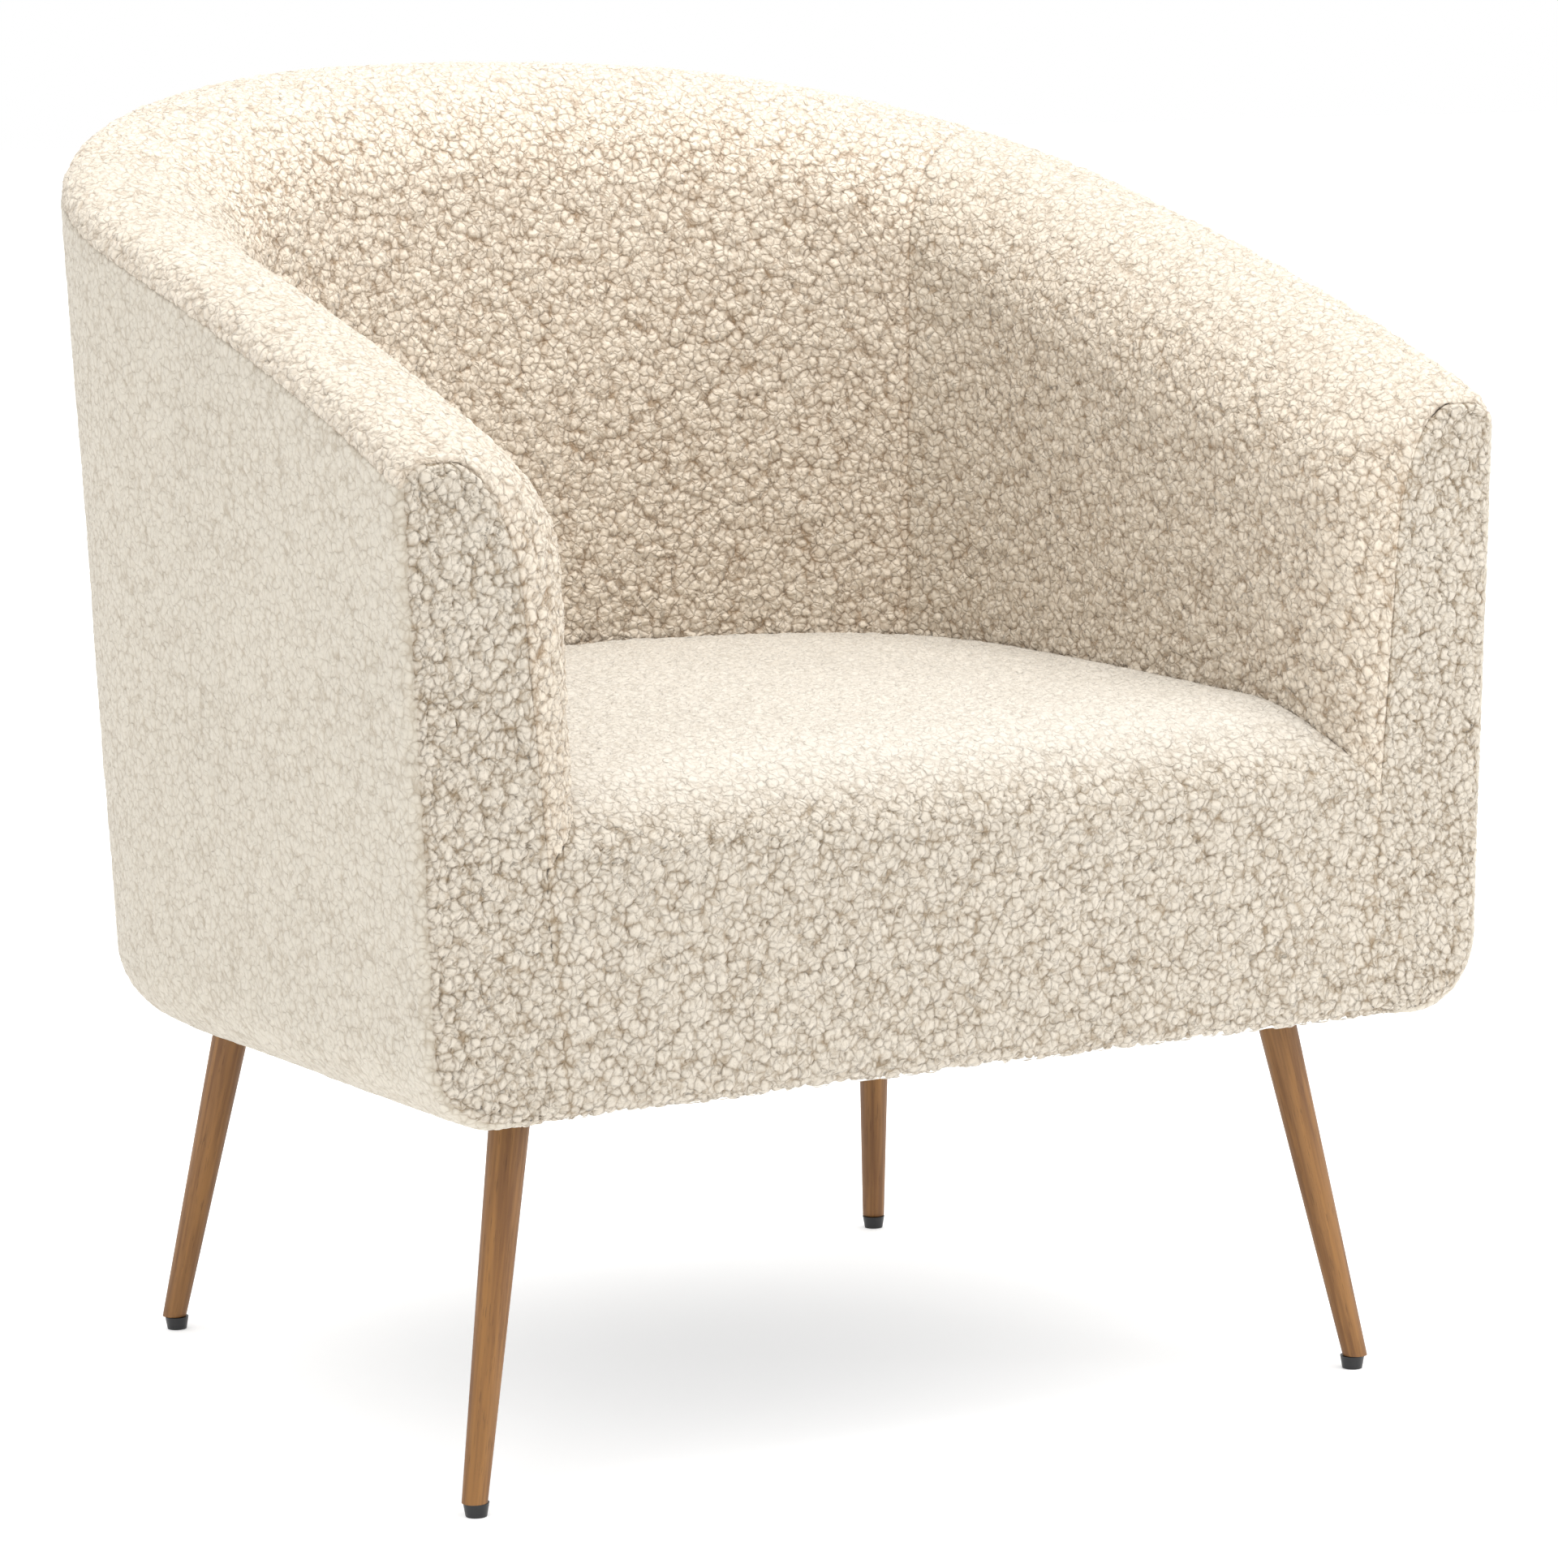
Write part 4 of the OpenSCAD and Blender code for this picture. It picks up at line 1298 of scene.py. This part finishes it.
@dataclass
class DustCloth:
    """The thin black cloth stapled under the shell."""

    height: float = 0.2180
    thick: float = 0.0008
    margin: float = 0.014
    front_edge: float = -0.289
    sag: float = 0.0010
    columns: int = 160
    rows: int = 150
    middle: float = 0.0005
    spacing: float = 0.042

    def line(self, s: Array, margin: float) -> Array:
        """The line this far inside the shell's foot, at each station."""
        f = SHELL
        z = np.full((len(s), 1), f.underside)
        return f.at(s, f.outer(s, z) + f.lower_edge + margin, z)[:, 0]

    def half(self, y: Array, margin: float) -> Array:
        """Half of the cloth's width at some y."""
        line = self.line(np.linspace(self.middle, 1, 1600), margin)
        order = np.argsort(line[:, 1])
        return np.interp(y, line[order, 1], line[order, 0])

    def reach(self, margin: float) -> float:
        """How far back the cloth goes."""
        return self.line(np.array([self.middle]), margin)[0, 1].item()

    def build(self, cloth: bpy.types.Material, steel: bpy.types.Material) -> None:
        """Makes the cloth and its staples."""
        back = self.reach(self.margin)
        turn = np.linspace(0, np.pi / 2, self.rows)
        y = self.front_edge + (back - 0.0004 - self.front_edge) * np.sin(turn)
        half = self.half(y, self.margin)
        t = np.linspace(-1, 1, self.columns)
        x = half[:, None] * t[None]
        yy = np.repeat(y[:, None], self.columns, 1)
        near = np.minimum(half[:, None] * (1 - np.abs(t[None])), yy - self.front_edge)
        near = np.minimum(near, back - yy)
        sink = self.sag * np.clip(near / 0.12, 0, 1)
        ripple = 0.0005 * drift(
            np.stack([x, yy, 0 * x], -1).reshape(-1, 3), 0.05, 91
        )[:, 0].reshape(x.shape)
        low = self.height - sink + ripple * np.clip(near / 0.03, 0, 1)
        outer = np.stack([x, yy, low], -1)
        upper = (outer + (0, 0, self.thick))[:, ::-1][:, ::10]
        flat = Pile(rise=0.0, clump_rise=0.0, swell=0.0)
        piece = Panel(
            "dust_cloth", outer, upper, flat, near, groove=0.0, soft=0.001
        ).build()
        finish_piece(piece, cloth, ["dust_cover"])
        width, length = 2 * float(half.max()), float(back - self.front_edge)
        staples = self.staples(steel)

    def staples(self, steel: bpy.types.Material) -> bpy.types.Object:
        """Makes the row of staples round the cloth's edge."""
        inner = self.margin + 0.009
        end = self.reach(inner)
        y = np.linspace(self.front_edge + 0.02, end - 0.0005, 900)
        side = np.stack([self.half(y, inner), y], 1)
        across = np.linspace(0.0, side[0, 0], 60)
        front = np.stack([across, np.full(60, y[0] - 0.011)], 1)
        line = np.concatenate([front, side])
        run = lengths(line)
        made = []
        bpy.ops.object.select_all(action="DESELECT")
        for far in np.arange(0.02, run[-1], self.spacing):
            x, dx, yy, dy = (
                np.interp(far + ahead, run, line[:, k])
                for k in (0, 1)
                for ahead in (0, 0.004)
            )
            dx, dy = dx - x, dy - yy
            for side_of in (-1, 1):
                bpy.ops.mesh.primitive_cube_add(
                    size=1.0, location=(side_of * x, yy, self.height - 0.0004)
                )
                one = bpy.context.object
                one.scale = (0.0100, 0.0011, 0.0007)
                one.rotation_euler = (0, 0, math.atan2(dy, side_of * dx))
                made.append(one)
        for one in made:
            one.select_set(True)
        bpy.context.view_layer.objects.active = made[0]
        bpy.ops.object.join()
        piece = bpy.context.object
        piece.name = piece.data.name = "dust_cloth_staples"
        bpy.ops.object.transform_apply(location=True, rotation=True, scale=True)
        drop_uv(piece)
        piece.data.materials.append(steel)
        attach(piece, "root")
        return piece


def paint(node: bpy.types.Object, material: bpy.types.Material) -> None:
    """Gives every slot of a CAD node one material."""
    if not node.material_slots:
        node.data.materials.append(material)
    for held in node.material_slots:
        held.material = material


@dataclass
class Legs:
    """Four splayed round legs and the glides under them.

    Front and back hold the x and y of a right leg's head and foot.
    """

    front: tuple[tuple[float, float], ...] = ((0.2515, -0.235), (0.2945, -0.263))
    back: tuple[tuple[float, float], ...] = ((0.223, 0.1622), (0.252, 0.2142))
    top: float = 0.2206
    light: Colour = (0.262, 0.117, 0.024)
    dark: Colour = (0.145, 0.058, 0.012)

    def build(self, glide: bpy.types.Material) -> None:
        """Gives each leg wood whose grain runs along it, and paints the glides."""
        for end, (head, foot) in (("front", self.front), ("back", self.back)):
            for side, sign in (("left", -1), ("right", 1)):
                run = Vector(((head[0] - foot[0]) * sign, head[1] - foot[1], self.top))
                turn = run.normalized().rotation_difference(Vector((0, 0, 1)))
                name, tilt = f"leg_wood_{end}_{side}", tuple(turn.to_euler())
                wood = LegWood(name, self.light, self.dark, tilt).make()
                paint(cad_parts[f"leg_{end}_{side}"], wood)
                paint(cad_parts[f"glide_{end}_{side}"], glide)


INNER_FINISHES: dict[str, PlainFinish] = {
    "wadding": PlainFinish("wadding", (0.85, 0.85, 0.83), Surface.FOAM, 0.95),
    "foam": PlainFinish("seat_foam", (0.78, 0.66, 0.36), Surface.FOAM, 0.9),
    "webbing": PlainFinish("webbing", (0.10, 0.09, 0.08), Surface.WEAVE, 0.8),
    "liner_board": PlainFinish("liner_board", (0.42, 0.32, 0.2), Surface.BOARD, 0.85),
    "felt": PlainFinish("insulator_felt", (0.28, 0.28, 0.29), Surface.FOAM, 0.95),
    "spring_steel": PlainFinish(
        "spring_steel", (0.42, 0.42, 0.44), Surface.METAL, 0.35, 1.0
    ),
    "zinc_steel": PlainFinish(
        "zinc_steel", (0.62, 0.62, 0.60), Surface.METAL, 0.4, 1.0
    ),
    "plywood": PlainFinish("plywood", (0.62, 0.46, 0.28), Surface.BOARD, 0.6),
}


@dataclass
class InnerParts:
    """The frame, springs and padding under the covers.

    The rules give the finish of each node whose name starts like this, and
    the rest are plywood.
    """

    rules: tuple[tuple[str, str], ...] = (
        ("seat_wadding$", "wadding"),
        (".*(foam|pad$|_pad_)", "foam"),
        (".*webbing", "webbing"),
        ("outer_liner$", "liner_board"),
        ("seat_insulator$", "felt"),
        ("seat_spring|spring_tie_wires$", "spring_steel"),
        ("(spring_clips|leg_bolts|leg_t_nuts)$", "zinc_steel"),
    )

    def kind(self, name: str) -> str:
        """The finish that a node of the frame takes."""
        kinds = (kind for rule, kind in self.rules if re.match(rule, name))
        return next(kinds, "plywood")

    def build(self, done: set[str]) -> None:
        """Gives every node that isn't done yet its finish."""
        made: dict[str, bpy.types.Material] = {}
        for name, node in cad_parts.items():
            if name in done:
                continue
            kind = self.kind(name)
            if kind not in made:
                made[kind] = INNER_FINISHES[kind].make()
            paint(node, made[kind])
        log.info("inner finishes: %s", ", ".join(sorted(made)))


@dataclass
class Studio:
    """The floor, the light and the camera.

    Each lamp holds its name, place, aim, size, power and colour.
    """

    azimuth: float = -30.51
    elevation: float = 8.55
    roll: float = -0.72
    distance: float = 3.242
    target: tuple[float, float, float] = (0.0542, 0.0, 0.3123)
    lens: float = 123.6
    shift: tuple[float, float] = (0.0022, 0.0269)
    lamps: tuple[tuple, ...] = (
        ("overhead", (0.15, -0.35, 2.5), (0, 0, 0.4), 1.6, 43.0, (1, 0.998, 0.99)),
        ("left_fill", (-1.9, -1.5, 1.8), (0.3, 0, 0.45), 1.2, 8.0, (1, 0.99, 0.98)),
        ("right_fill", (1.2, -1.4, 0.75), (0.32, -0.2, 0.4), 0.8, 7.5, (1, 0.99, 0.98)),
    )

    def camera(self) -> None:
        """Sets up the camera."""
        a, e, g = map(math.radians, (self.azimuth, self.elevation, self.roll))
        back = Vector(
            (math.sin(a) * math.cos(e), -math.cos(a) * math.cos(e), math.sin(e))
        )
        right = Vector((math.cos(a), math.sin(a), 0))
        up = back.cross(right)
        right, up = (
            right * math.cos(g) + up * math.sin(g),
            up * math.cos(g) - right * math.sin(g),
        )
        bpy.ops.object.camera_add(location=Vector(self.target) + back * self.distance)
        camera = bpy.context.object
        camera.rotation_euler = Matrix((right, up, back)).transposed().to_euler()
        camera.data.lens, camera.data.sensor_width = self.lens, 36.0
        camera.data.shift_x, camera.data.shift_y = self.shift
        camera.data.clip_end = 50.0
        bpy.context.scene.camera = camera

    def light(
        self, name: str, spot: Sequence[float], aim: Sequence[float], size: float,
        power: float, colour: Colour,
    ) -> None:
        """Adds a soft square lamp that looks at a point."""
        bpy.ops.object.light_add(type="AREA", location=spot)
        lamp = bpy.context.object
        lamp.name = name
        toward = Vector(aim) - Vector(spot)
        lamp.rotation_euler = toward.to_track_quat("-Z", "Y").to_euler()
        lamp.data.size, lamp.data.energy, lamp.data.color = size, power, colour

    def build(self) -> None:
        """Makes the floor, the lamps and the pale room."""
        bpy.ops.object.select_all(action="DESELECT")
        bpy.ops.mesh.primitive_plane_add(size=60.0, location=(0, 0, -0.0002))
        floor = bpy.context.object
        floor.name = "studio_floor"
        n = Nodes("studio_floor", 0.9)
        grain = n.noise(n.place(), 40.0, 2.0)
        floor.data.materials.append(
            n.feed(Base_Color=n.mix(grain, (0.93, 0.93, 0.93), (0.95, 0.95, 0.95)))
        )
        n.set(Emission_Color=(1, 1, 1, 1), Emission_Strength=0.38)
        self.camera()
        for lamp in self.lamps:
            self.light(*lamp)
        world = bpy.data.worlds.new("pale_room")
        world.use_nodes = True
        back = world.node_tree.nodes["Background"]
        back.inputs["Color"].default_value = (1, 1, 1, 1)
        back.inputs["Strength"].default_value = 1.0
        bpy.context.scene.world = world
        bpy.context.scene.view_settings.view_transform = "Standard"


# The four cloths are copies of one cream bouclé, each made lighter or darker for how
# light falls on its panels: painted light and shade.
OUTER_TIP = (0.550, 0.505, 0.426)
CLOTHS = {
    "outer": PileCloth(
        "outer_pile_cloth",
        tip=OUTER_TIP,
        root=(0.28, 0.22, 0.15),
        lit=OUTER_TIP,
        relief=0.0012,
        contrast=0.85,
    ),
    "inside_back_copy": PileCloth(
        "inside_back_copy_pile_cloth",
        tip=(0.735, 0.645, 0.53),
        root=(0.29, 0.187, 0.102),
        lit=(0.62, 0.58, 0.51),
    ),
    "inner": PileCloth(
        "inner_pile_cloth", tip=(0.570, 0.514, 0.432), root=(0.222, 0.155, 0.084)
    ),
    "arm": PileCloth(
        "arm_pile_cloth",
        tip=(0.655, 0.577, 0.472),
        root=(0.265, 0.174, 0.093),
        lit=(0.65, 0.61, 0.54),
    ),
}


def main() -> None:
    """Builds the chair's looks in order."""
    logging.basicConfig(level=logging.INFO, format="%(name)s: %(message)s")
    cloths = {kind: cloth.make() for kind, cloth in CLOTHS.items()}
    OutsideWrap().build(cloths["outer"])
    back = InsideCover("inside_back_cloth", "inside_back_cover", 0, 520, 290)
    back.build(cloths["inside_back_copy"])
    for side, sign in (("right", 1), ("left", -1)):
        inside, node = f"arm_cloth_{side}", f"inside_arm_cover_{side}"
        InsideCover(inside, node, sign, 262, 210).build(cloths["arm"])
    for side, sign in (("right", 1), ("left", -1)):
        front, node = f"arm_front_cloth_{side}", f"arm_front_cover_{side}"
        ArmFront(front, node, sign).build(cloths["inner"])
    SeatCover().build(cloths["inner"])
    black = PlainFinish("black_dust_cloth", (0.012, 0.012, 0.013), Surface.WEAVE, 0.85)
    steel = PlainFinish("staple_steel", (0.42, 0.42, 0.43), Surface.MOULDED, 0.35)
    DustCloth().build(black.make(), steel.make())
    glide = PlainFinish("glide_plastic", (0.008, 0.008, 0.009), Surface.MOULDED, 0.38)
    Legs().build(glide.make())
    dressed = ("leg_front", "leg_back", "glide")
    done = {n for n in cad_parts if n.startswith(dressed)}
    InnerParts().build({"dust_cover"} | done)
    Studio().build()


if __name__ == "__main__":
    main()
